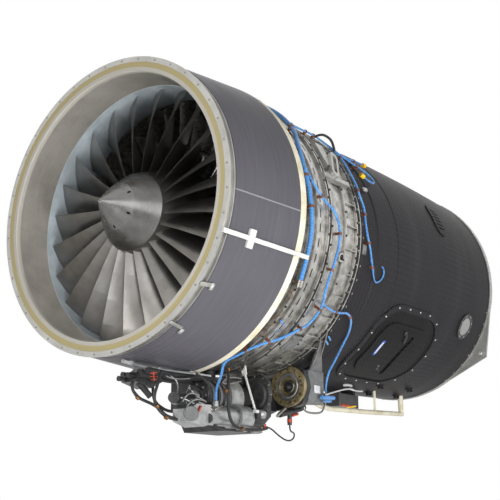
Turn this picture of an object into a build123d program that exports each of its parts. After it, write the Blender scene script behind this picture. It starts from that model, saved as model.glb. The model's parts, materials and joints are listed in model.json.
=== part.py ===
import os
from math import atan2, cos, degrees, radians, sin, sqrt, tan

from build123d import *

# A business-jet turbofan, in millimetres. The engine's axis is X, with the inlet at x = 0 facing -X.
# Stations are places along X. Angles go round the axis from +Y, over the top at 90 degrees.

os.makedirs("parts", exist_ok=True)

# Fits and clearances
SEAT_GAP = 0.05
RUNNING_GAP = 0.05
CLEARANCE = 0.3
TIP_CLEARANCE = 2.5

# Fan and inlet
FAN_TIP_RADIUS = 635.0
FAN_BLADE_COUNT = 24
BLADE_THICKNESS = 9.0
BLADE_CAMBER = 0.075
HUB_FRONT = 160.0
HUB_REAR = 400.0
HUB_FRONT_RADIUS = 190.5
HUB_REAR_RADIUS = 270.0
HUB_WALL = 12.0
SPINNER_TIP = -68.0
SPINNER_JOINT = 57.0
SPINNER_JOINT_RADIUS = 113.0
SPINNER_WALL = 4.0
POCKET_COUNT = 6

# Front rim
RIM_RADIUS = 712.0
RIM_FLANGE = 8.0
RIM_DEPTH = 48.0
RIM_BOLT_RADIUS = 699.0
RIM_BOLT_COUNT = 40
RIM_HOLE_RADIUS = 3.4
RIM_WEB_RADIUS = 686.0
RIM_WEB = 7.0
LINER_FRONT = 26.0
TRACK_FRONT = 205.0
TRACK_REAR = 430.0
LINER_THICKNESS = 16.0
LINER_BORE = FAN_TIP_RADIUS + TIP_CLEARANCE + 2
TRACK_BORE = FAN_TIP_RADIUS + TIP_CLEARANCE
CASE_RADIUS = LINER_BORE + LINER_THICKNESS

# Fan case
CASE_WALL = 6.0
SHELL_FRONT = 52.0
SHELL_REAR = 490.0
SHELL_FRONT_RADIUS = 708.0
SHELL_REAR_RADIUS = 744.0
SHELL_WALL = 5.0
BELT_FRONT = 120.0
BELT_REAR = 440.0
BELT_THICKNESS = 34.0
REAR_RING_REAR = 540.0
CASE_JOINT = 568.0
FLANGE_THICKNESS = 8.0

# Intermediate case
CASE_BORE = 668.0
CASE_REAR = 1100.0
CASE_FLANGE_RADIUS = 700.0
STRUT_COUNT = 8
STRUT_STATION = 735.0
STRUT_CHORD = 140.0
STRUT_THICKNESS = 26.0
TOWER_STRUT_THICKNESS = 58.0
TOWER_BORE = 19.0
SLOT_COUNT = 60
SLOT_STATION = 719.0
BOSS_STATION = 936.0
BOSS_ANGLE = -165.7
BOSS_HOLE_RADIUS = 15.0
PANEL_RIB_COUNT = 36

# Core
MID_RING_RADIUS = 398.0
CORE_FRONT = 630.0
CORE_REAR = 806.0
SPLITTER_LIP = 466.0
BEARING_SEAT = 95.0
REAR_BEARING_SEAT = 70.0
BIG_JOURNAL = 75.0
LP_SHAFT_RADIUS = 45.0
LP_SHAFT_BORE = 30.0
CORE_SHAFT_BORE = 52.0
CORE_SHAFT_RADIUS = 66.0
COMBUSTOR_FRONT = 1240.0
COMBUSTOR_REAR = 1530.0
COMBUSTOR_CASE_RADIUS = 330.0
TURBINE_REAR = 1975.0
EXHAUST_FRAME_REAR = 2060.0
EXHAUST_RADIUS = 376.0
TAIL_RADIUS = 205.0
MIXER_REAR = 2330.0
MIXER_LOBES = 14
CONE_REAR = 2610.0
BOOSTER_BLADE_COUNT = 22
TURBINE_BLADE_COUNT = 22
GEAR_BACK = 40
GEAR_RADIUS = 100
GEAR_FACE = 0.7
COMPRESSOR_BLADE_COUNT = 18
GUIDE_VANE_COUNT = 36
STATOR_COUNT = 18
NOZZLE_COUNT = 12
NOZZLE_STATION = 1264.0
MANIFOLD_RADIUS = 356.0
NOZZLE_RADIUS = 250.0
MIXER_WALL = 3.0
MIXER_CREST = 446.0
MIXER_TROUGH = 298.0
LOBE_HALF_WIDTH = 4.6

# Bypass duct
DUCT_FRONT = 1108.0
DUCT_REAR = 2740.0
DUCT_WALL = 7.0
DUCT_FRONT_RADIUS = 679.0
DUCT_MIDDLE_RADIUS = 694.0
DUCT_REAR_RADIUS = 680.0
REAR_FLANGE_DEPTH = 34.0
REAR_FLANGE_HOLES = 58
REAR_HOLE_RADIUS = 3.2
DOUBLER_RADIUS = DUCT_REAR_RADIUS + 6.0
REAR_HOLE_STATION = DUCT_REAR - 14.0
PANEL_STATION = 1808.0
PANEL_ANGLE = -132.0
PANEL_LENGTH = 650.0
PANEL_WIDTH = 484.0
PANEL_CORNER = 178.0
PANEL_THICKNESS = 6.0
RIM_MARGIN = 36.0
RIM_HEIGHT = 12.0
OPENING_MARGIN = 30.0
HANDLE_RADIUS = 330.0
PORT_STATION = 2435.0
PORT_ANGLE = -154.0
PORT_RADIUS = 66.0
PORT_RIM = 80.0
BRACKET_PLACES = ((2174, -97.5), (2108, -107.5), (2498, -98.5), (2452, -108.5))
LOUVRE_STATION = 2105.0
LOUVRE_ANGLE = 155.0

# Accessory gearbox
STARTER_Y = -222.0
STARTER_Z = -757.0
STARTER_FACE = 1120.0
STARTER_PAD_RADIUS = 104.0
STARTER_HOLE_COUNT = 12
STARTER_HOLE_RADIUS = 5.5
STARTER_BORE = 34.0

# Mounts, conduit and rail
MOUNT_ANGLE = -144.0
MOUNT_RADIUS = 736.0
MOUNT_BORE_RADIUS = 11.0
MOUNT_SPREAD = 21.0
MOUNT_FRONT = DUCT_REAR - 26.0
MOUNT_THICKNESS = 14.0
CONDUIT_ANGLE = -160.8
CONDUIT_WIDTH = 20.0
CONDUIT_DEPTH = 12.0
CONDUIT_REAR = CASE_JOINT + FLANGE_THICKNESS
SADDLE_STATION = 185.0
RAIL_DIAMETER = 18.0
JUNCTION_FRONT = 118.0
JUNCTION_REAR = 300.0

# Harnesses and hoses
MAIN_DIAMETER = 22.0
CONTROL_DIAMETER = 13.0
BRANCH_DIAMETER = 11.0
SENSOR_DIAMETER = 11.0
LEAD_DIAMETER = 9.0
CAP_RADIUS = 12.0
CAP_LENGTH = 26.0
TAIL_DIAMETER = 8.0
LEAD_LOOP_DIAMETER = 8.0
HOSE_DIAMETER = 14.0

# Units on the gearbox, the box and the drain tube
TOWER_RADIUS = 14.0
TOWER_FOOT = -795.0
GENERATOR_Y = -130.0
GENERATOR_Z = -853.0
PUMP_Y = -235.0
PUMP_Z = -950.0
BULGE_Y = -220.0
BULGE_Z = -828.0
ADAPTER_FRONT = 640.0
ADAPTER_REAR = 735.0
HOUSING_FRONT = 850.0
HOUSING_REAR = 885.0
SHELF_FRONT = 715.0
SHELF_REAR = 985.0
PLATE_FRONT = 1150.0
PLATE_REAR = 1190.0
PAD_RECESS = 10.0
DRIVE_FRONT = 1128.0
DRIVE_SHOULDER = 44.0
SOCKET_RADIUS = 20.0
SPLINE_COUNT = 16
BOX_FRONT = 1885.0
BOX_REAR = 2110.0
BOX_TOP = -716.0
DRAIN_DIAMETER = 28.0
BLOCK_REAR = 1335.0


def turned(*corners):
    """A ring turned about the engine's axis, from its half section's (station, radius) corners."""
    with BuildPart() as ring:
        with BuildSketch(Plane.XZ):
            with BuildLine():
                Polyline(*corners, close=True)
            make_face()
        revolve(axis=Axis.X)
    return ring


def turned_off_axis(y, z, *corners):
    """A round unit whose own axis lies along X through (y, z), from its (station, radius) corners."""
    with BuildPart() as unit:
        with BuildSketch(Plane(origin=(0, y, z), x_dir=(1, 0, 0), z_dir=(0, -1, 0))):
            with BuildLine():
                Polyline(*corners, close=True)
            make_face()
        revolve(axis=Axis((0, y, z), (1, 0, 0)))
    return unit


def skin_point(station, angle, radius):
    """The point at a station, an angle round the axis and a radius from it."""
    return (station, radius * cos(radians(angle)), radius * sin(radians(angle)))


def skin_plane(station, angle, radius):
    """A plane on the engine's skin: its x runs aft, and its normal points outwards."""
    normal = (0, cos(radians(angle)), sin(radians(angle)))
    return Plane(origin=skin_point(station, angle, radius), x_dir=(1, 0, 0), z_dir=normal)


def aerofoil_corners(chord, stagger, camber, thickness):
    """Nose, tail and the two crowns of a cambered blade section, about the middle of its chord."""
    along = (cos(radians(stagger)), sin(radians(stagger)))
    across = (-along[1], along[0])
    nose = (-chord / 2 * along[0], -chord / 2 * along[1])
    tail = (chord / 2 * along[0], chord / 2 * along[1])
    upper = ((camber + thickness / 2) * across[0], (camber + thickness / 2) * across[1])
    lower = ((camber - thickness / 2) * across[0], (camber - thickness / 2) * across[1])
    return nose, upper, tail, lower


def straight_blade(station, inner, outer, chord, stagger, camber, thickness):
    """One plain blade along +Y, between two radii."""
    nose, upper, tail, lower = aerofoil_corners(chord, stagger, camber, thickness)
    with BuildPart() as blade:
        with BuildSketch(Plane(origin=(station, inner, 0), x_dir=(1, 0, 0), z_dir=(0, 1, 0))):
            with BuildLine():
                ThreePointArc(nose, upper, tail)
                ThreePointArc(tail, lower, nose)
            make_face()
        extrude(amount=outer - inner)
    return blade.part


def corner_radii(points, smallest):
    """The largest tangent arc that each corner's two runs leave room for."""
    radii = []
    for before, here, after in zip(points, points[1:], points[2:]):
        coming = Vector(*here) - Vector(*before)
        going = Vector(*after) - Vector(*here)
        half_turn = radians(coming.get_angle(going)) / 2
        room = 0.45 * min(coming.length, going.length) / tan(half_turn)
        radii.append(max(min(room, 600.0), smallest))
    return radii


def tube(points, diameter):
    """A round tube along straight runs joined by tangent arcs."""
    radii = corner_radii(points, 0.6 * diameter)
    with BuildPart() as pipe:
        with BuildLine() as path:
            FilletPolyline(*points, radius=radii)
        with BuildSketch(Plane(origin=path.line @ 0, z_dir=path.line % 0)):
            Circle(diameter / 2)
        sweep()
    return pipe.part


def skin_route(radius, *places):
    """A route over the engine's skin through (station, angle) places."""
    return [skin_point(station, angle, radius) for station, angle in places]


def blade_ring(part, count):
    """Copies of one blade, evenly spaced round the engine's axis."""
    return [Rot(X=360 * index / count) * part for index in range(count)]


def radial_plane(angle):
    """The plane through the engine's axis at an angle: its x runs aft and its y outwards."""
    turn = radians(angle)
    return Plane(origin=(0, 0, 0), x_dir=(1, 0, 0), z_dir=(0, -sin(turn), cos(turn)))


def shell_radius(station):
    """Outer radius of the fan case's skin at a station."""
    share = (station - SHELL_FRONT) / (SHELL_REAR - SHELL_FRONT)
    return SHELL_FRONT_RADIUS + (SHELL_REAR_RADIUS - SHELL_FRONT_RADIUS) * share


# Outer steps of the intermediate case, as (station, radius) corners
outer_profile = (
    (CASE_JOINT, CASE_BORE),
    (CASE_JOINT, CASE_FLANGE_RADIUS),
    (CASE_JOINT + FLANGE_THICKNESS, CASE_FLANGE_RADIUS),
    (CASE_JOINT + FLANGE_THICKNESS, 682),
    (640, 682),
    (640, 706),
    (648, 706),
    (648, 690),
    (692, 690),
    (692, 702),
    (746, 702),
    (746, 694),
    (778, 694),
    (778, 712),
    (788, 712),
    (788, 700),
    (802, 700),
    (802, 712),
    (812, 712),
    (812, 692),
    (832, 692),
    (832, 700),
    (862, 700),
    (862, 688),
    (950, 688),
    (950, 700),
    (960, 700),
    (960, 679),
    (1068, 679),
    (1068, 694),
    (1078, 694),
    (1078, 682),
    (CASE_REAR - FLANGE_THICKNESS, 682),
    (CASE_REAR - FLANGE_THICKNESS, CASE_FLANGE_RADIUS),
    (CASE_REAR, CASE_FLANGE_RADIUS),
    (CASE_REAR, CASE_BORE),
)


def case_radius(station):
    """Outer radius of the intermediate case at a station, between its steps."""
    for (front, front_radius), (rear, rear_radius) in zip(outer_profile[1:], outer_profile[2:]):
        if front <= station < rear:
            return front_radius
    return CASE_FLANGE_RADIUS


# Outer skin of the bypass duct
duct_outline = (
    (DUCT_FRONT, DUCT_FRONT_RADIUS - 1),
    (DUCT_FRONT + 24, DUCT_FRONT_RADIUS - 1),
    (1290, DUCT_FRONT_RADIUS + 2),
    (1304, DUCT_FRONT_RADIUS + 8),
    (1500, DUCT_MIDDLE_RADIUS - 5),
    (1512, DUCT_MIDDLE_RADIUS - 2),
    (1700, DUCT_MIDDLE_RADIUS + 0.5),
    (1900, DUCT_MIDDLE_RADIUS + 1.5),
    (2100, DUCT_MIDDLE_RADIUS + 1),
    (2300, DUCT_MIDDLE_RADIUS - 1.5),
    (2500, DUCT_REAR_RADIUS + 8),
    (DUCT_REAR - REAR_FLANGE_DEPTH, DUCT_REAR_RADIUS),
    (DUCT_REAR, DUCT_REAR_RADIUS),
)


def duct_radius(station):
    """Outer radius of the duct at a station."""
    for (front, front_radius), (rear, rear_radius) in zip(duct_outline, duct_outline[1:]):
        if front <= station <= rear:
            return front_radius + (rear_radius - front_radius) * (station - front) / (rear - front)
    return DUCT_REAR_RADIUS


def duct_layer(inner_offset, outer_offset):
    """A shell that follows the duct's outer skin, between two offsets from it."""
    outside = [(station, radius + outer_offset) for station, radius in duct_outline]
    inside = [(station, radius + inner_offset) for station, radius in reversed(duct_outline)]
    return turned(*outside, *inside).part


# Spinner
with BuildPart() as spinner_nose:
    with BuildSketch(Plane.XZ):
        with BuildLine():
            slope = (SPINNER_JOINT - SPINNER_TIP) / SPINNER_JOINT_RADIUS
            wall = SPINNER_WALL * sqrt(1 + slope**2)
            Polyline(
                (SPINNER_TIP, 0),
                (SPINNER_JOINT, SPINNER_JOINT_RADIUS),
                (SPINNER_JOINT, SPINNER_JOINT_RADIUS - 14),
                (SPINNER_JOINT - 6, SPINNER_JOINT_RADIUS - 14),
                (SPINNER_TIP + wall, 0),
                close=True,
            )
        make_face()
    revolve(axis=Axis.X)
    pocket_middle = (SPINNER_JOINT - 13, 0, SPINNER_JOINT_RADIUS - 12)
    pocket_plane = Plane(origin=pocket_middle, x_dir=(1, 0, 0.9), z_dir=(-0.9, 0, 1))
    with BuildSketch(pocket_plane) as pocket:
        Rectangle(17, 9)
        fillet(pocket.vertices(), 2)
    pocket_cut = extrude(amount=14, both=True, mode=Mode.PRIVATE)
    add(blade_ring(pocket_cut, POCKET_COUNT), mode=Mode.SUBTRACT)
spinner_nose.part.label = "spinner_nose"
export_step(spinner_nose.part, "parts/spinner_nose.step")

spinner_base = turned(
    (SPINNER_JOINT, SPINNER_JOINT_RADIUS),
    (HUB_FRONT, HUB_FRONT_RADIUS),
    (HUB_FRONT, HUB_FRONT_RADIUS - 26),
    (HUB_FRONT - 5, HUB_FRONT_RADIUS - 26),
    (HUB_FRONT - 5, HUB_FRONT_RADIUS - 9),
    (SPINNER_JOINT + 5, SPINNER_JOINT_RADIUS - 1),
    (SPINNER_JOINT + 5, SPINNER_JOINT_RADIUS - 14),
    (SPINNER_JOINT, SPINNER_JOINT_RADIUS - 14),
)
spinner_base.part.label = "spinner_base"
export_step(spinner_base.part, "parts/spinner_base.step")


def fan_section(radius):
    """Nose and tail stations, tangential half width, and camber of the fan blade at a radius."""
    share = (radius - HUB_FRONT_RADIUS) / (FAN_TIP_RADIUS - HUB_FRONT_RADIUS)
    nose_station = HUB_FRONT + 8 + 18 * share + 54 * share**2
    tail_station = HUB_REAR - 6 - 14 * share + 8 * share**2
    half_width = 44 + 34 * share + 30 * share**2
    return nose_station, tail_station, half_width, share


# The fan: a hub with wide-chord blades milled from the same titanium forging
fan_blade_sections = []
for section_radius in (180, 300, 430, 550, FAN_TIP_RADIUS + 24):
    nose_station, tail_station, half_width, share = fan_section(section_radius)
    chord = sqrt((tail_station - nose_station) ** 2 + (2 * half_width) ** 2)
    stagger = degrees(atan2(2 * half_width, tail_station - nose_station))
    bow = chord * (BLADE_CAMBER * 1.5 - BLADE_CAMBER * share)
    thickness = BLADE_THICKNESS * (1.35 - 0.8 * share)
    corners = aerofoil_corners(chord, stagger, bow, thickness)
    middle_station = (nose_station + tail_station) / 2
    section_plane = Plane(origin=(middle_station, section_radius, 0), x_dir=(1, 0, 0), z_dir=(0, 1, 0))
    with BuildSketch(section_plane) as section:
        with BuildLine():
            ThreePointArc(corners[0], corners[1], corners[2])
            ThreePointArc(corners[2], corners[3], corners[0])
        make_face()
    fan_blade_sections.append(section.sketch.faces()[0])

with BuildPart() as fan_blade:
    loft(fan_blade_sections, ruled=True)
    with BuildSketch(Plane.XZ):
        with BuildLine():
            Polyline(
                (HUB_FRONT, HUB_FRONT_RADIUS - HUB_WALL / 2),
                (HUB_FRONT, FAN_TIP_RADIUS),
                (HUB_REAR, FAN_TIP_RADIUS),
                (HUB_REAR, HUB_REAR_RADIUS - HUB_WALL / 2),
                close=True,
            )
        make_face()
    revolve(axis=Axis.X, mode=Mode.INTERSECT)

with BuildPart() as fan_rotor:
    with BuildSketch(Plane.XZ):
        with BuildLine():
            Polyline(
                (HUB_FRONT, HUB_FRONT_RADIUS - HUB_WALL),
                (HUB_FRONT, HUB_FRONT_RADIUS),
                (HUB_REAR, HUB_REAR_RADIUS),
                (HUB_REAR, HUB_REAR_RADIUS - HUB_WALL),
                (300, 225),
                (300, 80),
                (330, 80),
                (330, 60),
                (230, 60),
                (230, 80),
                (268, 80),
                (268, 214),
                close=True,
            )
        make_face()
    revolve(axis=Axis.X)
    add(blade_ring(fan_blade.part, FAN_BLADE_COUNT))
fan_rotor.part.label = "fan_rotor"
export_step(fan_rotor.part, "parts/fan_rotor.step")

# Low-pressure shaft, booster drum and turbine, which turn with the fan
lp_shaft = turned(
    (225, LP_SHAFT_BORE),
    (225, 60 - SEAT_GAP),
    (330, 60 - SEAT_GAP),
    (330, BIG_JOURNAL - RUNNING_GAP),
    (660, BIG_JOURNAL - RUNNING_GAP),
    (690, LP_SHAFT_RADIUS),
    (1500, LP_SHAFT_RADIUS),
    (1500, CORE_SHAFT_BORE - RUNNING_GAP),
    (1520, CORE_SHAFT_BORE - RUNNING_GAP),
    (1520, LP_SHAFT_RADIUS),
    (2015, LP_SHAFT_RADIUS),
    (2015, LP_SHAFT_BORE),
)
lp_shaft.part.label = "lp_shaft"
export_step(lp_shaft.part, "parts/lp_shaft.step")

booster_blade_spots = (520, 592)
booster_blades = []
for spot in booster_blade_spots:
    booster_blade = straight_blade(spot, HUB_REAR_RADIUS - 4, 373, 34, 38, 2.5, 4)
    booster_blades += blade_ring(booster_blade, BOOSTER_BLADE_COUNT)
with BuildPart() as booster_rotor:
    with BuildSketch(Plane.XZ):
        with BuildLine():
            Polyline(
                (HUB_REAR, HUB_REAR_RADIUS - HUB_WALL),
                (HUB_REAR, HUB_REAR_RADIUS),
                (CORE_FRONT - 8, HUB_REAR_RADIUS + 4),
                (CORE_FRONT - 8, HUB_REAR_RADIUS - 6),
                (470, HUB_REAR_RADIUS - 10),
                (470, BIG_JOURNAL),
                (458, BIG_JOURNAL),
                (458, HUB_REAR_RADIUS - 12),
                close=True,
            )
        make_face()
    revolve(axis=Axis.X)
    add(booster_blades)
booster_rotor.part.label = "booster_rotor"
export_step(booster_rotor.part, "parts/booster_rotor.step")

turbine_spots = ((1680, 228, 316), (1790, 250, 344))
turbine_blades = []
for spot, root_radius, tip_radius in turbine_spots:
    turbine_blade = straight_blade(spot, root_radius - 4, tip_radius, 46, -34, -6, 8)
    turbine_blades += blade_ring(turbine_blade, TURBINE_BLADE_COUNT)
with BuildPart() as lp_turbine_rotor:
    with BuildSketch(Plane.XZ):
        with BuildLine():
            Polyline(
                (1740, LP_SHAFT_RADIUS + SEAT_GAP),
                (1740, 70),
                (1672, 92),
                (1672, 214),
                (1658, 218),
                (1658, 226),
                (1702, 232),
                (1702, 220),
                (1690, 214),
                (1690, 104),
                (1745, 86),
                (1782, 92),
                (1782, 236),
                (1768, 240),
                (1768, 248),
                (1812, 254),
                (1812, 242),
                (1800, 236),
                (1800, 80),
                (1760, 66),
                (1760, LP_SHAFT_RADIUS + SEAT_GAP),
                close=True,
            )
        make_face()
    revolve(axis=Axis.X)
    add(turbine_blades)
lp_turbine_rotor.part.label = "lp_turbine_rotor"
export_step(lp_turbine_rotor.part, "parts/lp_turbine_rotor.step")

# High-pressure spool
compressor_rows = ((905, 158, 236), (1005, 168, 228), (1105, 178, 221))
compressor_blades = []
for spot, root_radius, tip_radius in compressor_rows:
    compressor_blade = straight_blade(spot, root_radius - 6, tip_radius, 36, 40, 2.5, 4)
    compressor_blades += blade_ring(compressor_blade, COMPRESSOR_BLADE_COUNT)
with BuildPart() as compressor_rotor:
    with BuildSketch(Plane.XZ):
        with BuildLine():
            Polyline(
                (STRUT_STATION + GEAR_BACK * GEAR_FACE, CORE_SHAFT_BORE),
                (STRUT_STATION + GEAR_BACK * GEAR_FACE, GEAR_RADIUS * GEAR_FACE),
                (STRUT_STATION + GEAR_BACK, GEAR_RADIUS),
                (STRUT_STATION + GEAR_BACK + 8, GEAR_RADIUS - 8),
                (STRUT_STATION + GEAR_BACK + 8, BIG_JOURNAL - RUNNING_GAP),
                (830, BIG_JOURNAL - RUNNING_GAP),
                (860, 142),
                (860, 152),
                (COMBUSTOR_FRONT - 10, 190),
                (COMBUSTOR_FRONT - 10, 160),
                (COMBUSTOR_FRONT - 18, 160),
                (COMBUSTOR_FRONT - 18, 178),
                (874, 142),
                (842, 66),
                (842, CORE_SHAFT_BORE),
                close=True,
            )
        make_face()
    revolve(axis=Axis.X)
    add(compressor_blades)
compressor_rotor.part.label = "compressor_rotor"
export_step(compressor_rotor.part, "parts/compressor_rotor.step")

core_turbine_blade = straight_blade(1562, 196, 267, 34, -30, -5, 7)
with BuildPart() as core_turbine_rotor:
    with BuildSketch(Plane.XZ):
        with BuildLine():
            Polyline(
                (1546, 190),
                (1540, 194),
                (1540, 202),
                (1584, 204),
                (1584, 192),
                (1572, 186),
                (1572, 110),
                (1584, 78),
                (1584, CORE_SHAFT_BORE),
                (COMBUSTOR_FRONT - 10, CORE_SHAFT_BORE),
                (COMBUSTOR_FRONT - 10, 186),
                (COMBUSTOR_FRONT, 186),
                (COMBUSTOR_FRONT, 120),
                (COMBUSTOR_FRONT + 60, CORE_SHAFT_RADIUS),
                (1538, CORE_SHAFT_RADIUS),
                (1546, 90),
                close=True,
            )
        make_face()
    revolve(axis=Axis.X)
    add(blade_ring(core_turbine_blade, 24))
core_turbine_rotor.part.label = "core_turbine_rotor"
export_step(core_turbine_rotor.part, "parts/core_turbine_rotor.step")

# Bearings: sealed units, each seated in its housing, round a shaft journal
with BuildPart() as main_bearings:
    for front, length, bore, seat in (
        (CORE_FRONT, 20, BIG_JOURNAL, BEARING_SEAT),
        (CORE_REAR - 12, 12, BIG_JOURNAL, BEARING_SEAT),
        (1990, 20, LP_SHAFT_RADIUS + RUNNING_GAP, REAR_BEARING_SEAT),
    ):
        with BuildSketch(Plane.YZ.offset(front)):
            Circle(seat - SEAT_GAP)
            Circle(bore, mode=Mode.SUBTRACT)
        extrude(amount=length)
main_bearings.part.label = "main_bearings"
export_step(main_bearings.part, "parts/main_bearings.step")

# Front rim: the bolt flange is a channel whose rear ridge stands over the shell
with BuildPart() as inlet_flange:
    with BuildSketch(Plane.XZ):
        with BuildLine():
            Polyline(
                (0, RIM_WEB_RADIUS),
                (0, RIM_RADIUS),
                (RIM_FLANGE, RIM_RADIUS),
                (RIM_FLANGE, RIM_WEB_RADIUS + RIM_WEB),
                (RIM_DEPTH - 5, RIM_WEB_RADIUS + RIM_WEB),
                (RIM_DEPTH - 5, SHELL_FRONT_RADIUS - 2),
                (RIM_DEPTH, SHELL_FRONT_RADIUS - 2),
                (RIM_DEPTH, RIM_WEB_RADIUS + RIM_WEB),
                (RIM_DEPTH + 20, RIM_WEB_RADIUS + RIM_WEB),
                (RIM_DEPTH + 20, RIM_WEB_RADIUS),
                close=True,
            )
        make_face()
    revolve(axis=Axis.X)
    with BuildSketch(Plane.YZ):
        with PolarLocations(RIM_BOLT_RADIUS, RIM_BOLT_COUNT, start_angle=180 / RIM_BOLT_COUNT):
            Circle(RIM_HOLE_RADIUS)
    extrude(amount=RIM_FLANGE, mode=Mode.SUBTRACT)
inlet_flange.part.label = "inlet_flange"
export_step(inlet_flange.part, "parts/inlet_flange.step")

inlet_seal_ring = turned(
    (1.5, LINER_BORE + 3),
    (1.5, RIM_WEB_RADIUS - SEAT_GAP),
    (LINER_FRONT, RIM_WEB_RADIUS - SEAT_GAP),
    (LINER_FRONT, LINER_BORE),
    (8, LINER_BORE),
)
inlet_seal_ring.part.label = "inlet_seal_ring"
export_step(inlet_seal_ring.part, "parts/inlet_seal_ring.step")

inlet_liner = turned(
    (LINER_FRONT, LINER_BORE),
    (LINER_FRONT, CASE_RADIUS - SEAT_GAP),
    (TRACK_FRONT, CASE_RADIUS - SEAT_GAP),
    (TRACK_FRONT, LINER_BORE),
)
inlet_liner.part.label = "inlet_liner"
export_step(inlet_liner.part, "parts/inlet_liner.step")

fan_track_liner = turned(
    (TRACK_FRONT, TRACK_BORE),
    (TRACK_FRONT, CASE_RADIUS - SEAT_GAP),
    (TRACK_REAR, CASE_RADIUS - SEAT_GAP),
    (TRACK_REAR, TRACK_BORE),
)
fan_track_liner.part.label = "fan_track_liner"
export_step(fan_track_liner.part, "parts/fan_track_liner.step")

# Fan case: a metal barrel, a fibre belt that would catch a lost blade, and the outer skin
fan_case = turned(
    (LINER_FRONT, CASE_RADIUS),
    (LINER_FRONT, RIM_WEB_RADIUS - SEAT_GAP),
    (LINER_FRONT + 7, RIM_WEB_RADIUS - SEAT_GAP),
    (LINER_FRONT + 7, CASE_RADIUS + CASE_WALL),
    (CASE_JOINT - FLANGE_THICKNESS, CASE_RADIUS + CASE_WALL),
    (CASE_JOINT - FLANGE_THICKNESS, CASE_FLANGE_RADIUS),
    (CASE_JOINT, CASE_FLANGE_RADIUS),
    (CASE_JOINT, CASE_RADIUS),
)
fan_case.part.label = "fan_case"
export_step(fan_case.part, "parts/fan_case.step")

containment_belt = turned(
    (BELT_FRONT, CASE_RADIUS + CASE_WALL + SEAT_GAP),
    (BELT_FRONT, CASE_RADIUS + CASE_WALL + BELT_THICKNESS - 8),
    (BELT_FRONT + 20, CASE_RADIUS + CASE_WALL + BELT_THICKNESS),
    (BELT_REAR - 20, CASE_RADIUS + CASE_WALL + BELT_THICKNESS),
    (BELT_REAR, CASE_RADIUS + CASE_WALL + BELT_THICKNESS - 8),
    (BELT_REAR, CASE_RADIUS + CASE_WALL + SEAT_GAP),
)
containment_belt.part.label = "containment_belt"
export_step(containment_belt.part, "parts/containment_belt.step")

fan_case_shell = turned(
    (SHELL_FRONT, RIM_WEB_RADIUS + RIM_WEB + SEAT_GAP),
    (SHELL_FRONT, SHELL_FRONT_RADIUS - 6),
    (SHELL_FRONT + 3, SHELL_FRONT_RADIUS),
    (SHELL_REAR, SHELL_REAR_RADIUS),
    (SHELL_REAR, SHELL_REAR_RADIUS - SHELL_WALL),
    (SHELL_FRONT + 10, SHELL_FRONT_RADIUS - SHELL_WALL),
    (SHELL_FRONT + 10, RIM_WEB_RADIUS + RIM_WEB + SEAT_GAP),
)
fan_case_shell.part.label = "fan_case_shell"
export_step(fan_case_shell.part, "parts/fan_case_shell.step")

fan_case_rear_ring = turned(
    (SHELL_REAR, SHELL_REAR_RADIUS - SHELL_WALL - 8),
    (SHELL_REAR, SHELL_REAR_RADIUS - 1),
    (SHELL_REAR + 16, SHELL_REAR_RADIUS),
    (REAR_RING_REAR - 6, SHELL_REAR_RADIUS),
    (REAR_RING_REAR, SHELL_REAR_RADIUS - 6),
    (REAR_RING_REAR, CASE_RADIUS + CASE_WALL + SEAT_GAP),
    (REAR_RING_REAR - 6, CASE_RADIUS + CASE_WALL + SEAT_GAP),
    (REAR_RING_REAR - 6, SHELL_REAR_RADIUS - SHELL_WALL - 8),
)
fan_case_rear_ring.part.label = "fan_case_rear_ring"
export_step(fan_case_rear_ring.part, "parts/fan_case_rear_ring.step")

# Fan exit guide vanes and the splitter that parts the core air from the bypass air
guide_vane = straight_blade(545, MID_RING_RADIUS + 2, CASE_RADIUS - 4, 84, -16, -5, 7)
with BuildPart() as fan_exit_guide_vanes:
    with BuildSketch(Plane.XZ):
        with Locations((545, CASE_RADIUS - SEAT_GAP - 3), (545, MID_RING_RADIUS + SEAT_GAP + 2.5)):
            Rectangle(150, 5)
    revolve(axis=Axis.X)
    add(blade_ring(guide_vane, GUIDE_VANE_COUNT))
fan_exit_guide_vanes.part.label = "fan_exit_guide_vanes"
export_step(fan_exit_guide_vanes.part, "parts/fan_exit_guide_vanes.step")

booster_vane = straight_blade(556, HUB_REAR_RADIUS + 5.5, 377, 26, -30, -3, 4)
with BuildPart() as core_splitter:
    with BuildSketch(Plane.XZ):
        with BuildLine():
            Polyline(
                (SPLITTER_LIP, 384),
                (SPLITTER_LIP + 16, MID_RING_RADIUS),
                (CORE_FRONT, MID_RING_RADIUS),
                (CORE_FRONT, MID_RING_RADIUS - 5),
                (SPLITTER_LIP + 26, MID_RING_RADIUS - 5),
                (SPLITTER_LIP + 16, 388),
                (SPLITTER_LIP + 26, 380),
                (CORE_FRONT, 380),
                (CORE_FRONT, 376),
                (SPLITTER_LIP + 20, 376),
                close=True,
            )
        make_face()
    revolve(axis=Axis.X)
    add(blade_ring(booster_vane, 20))
core_splitter.part.label = "core_splitter"
export_step(core_splitter.part, "parts/core_splitter.step")

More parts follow.
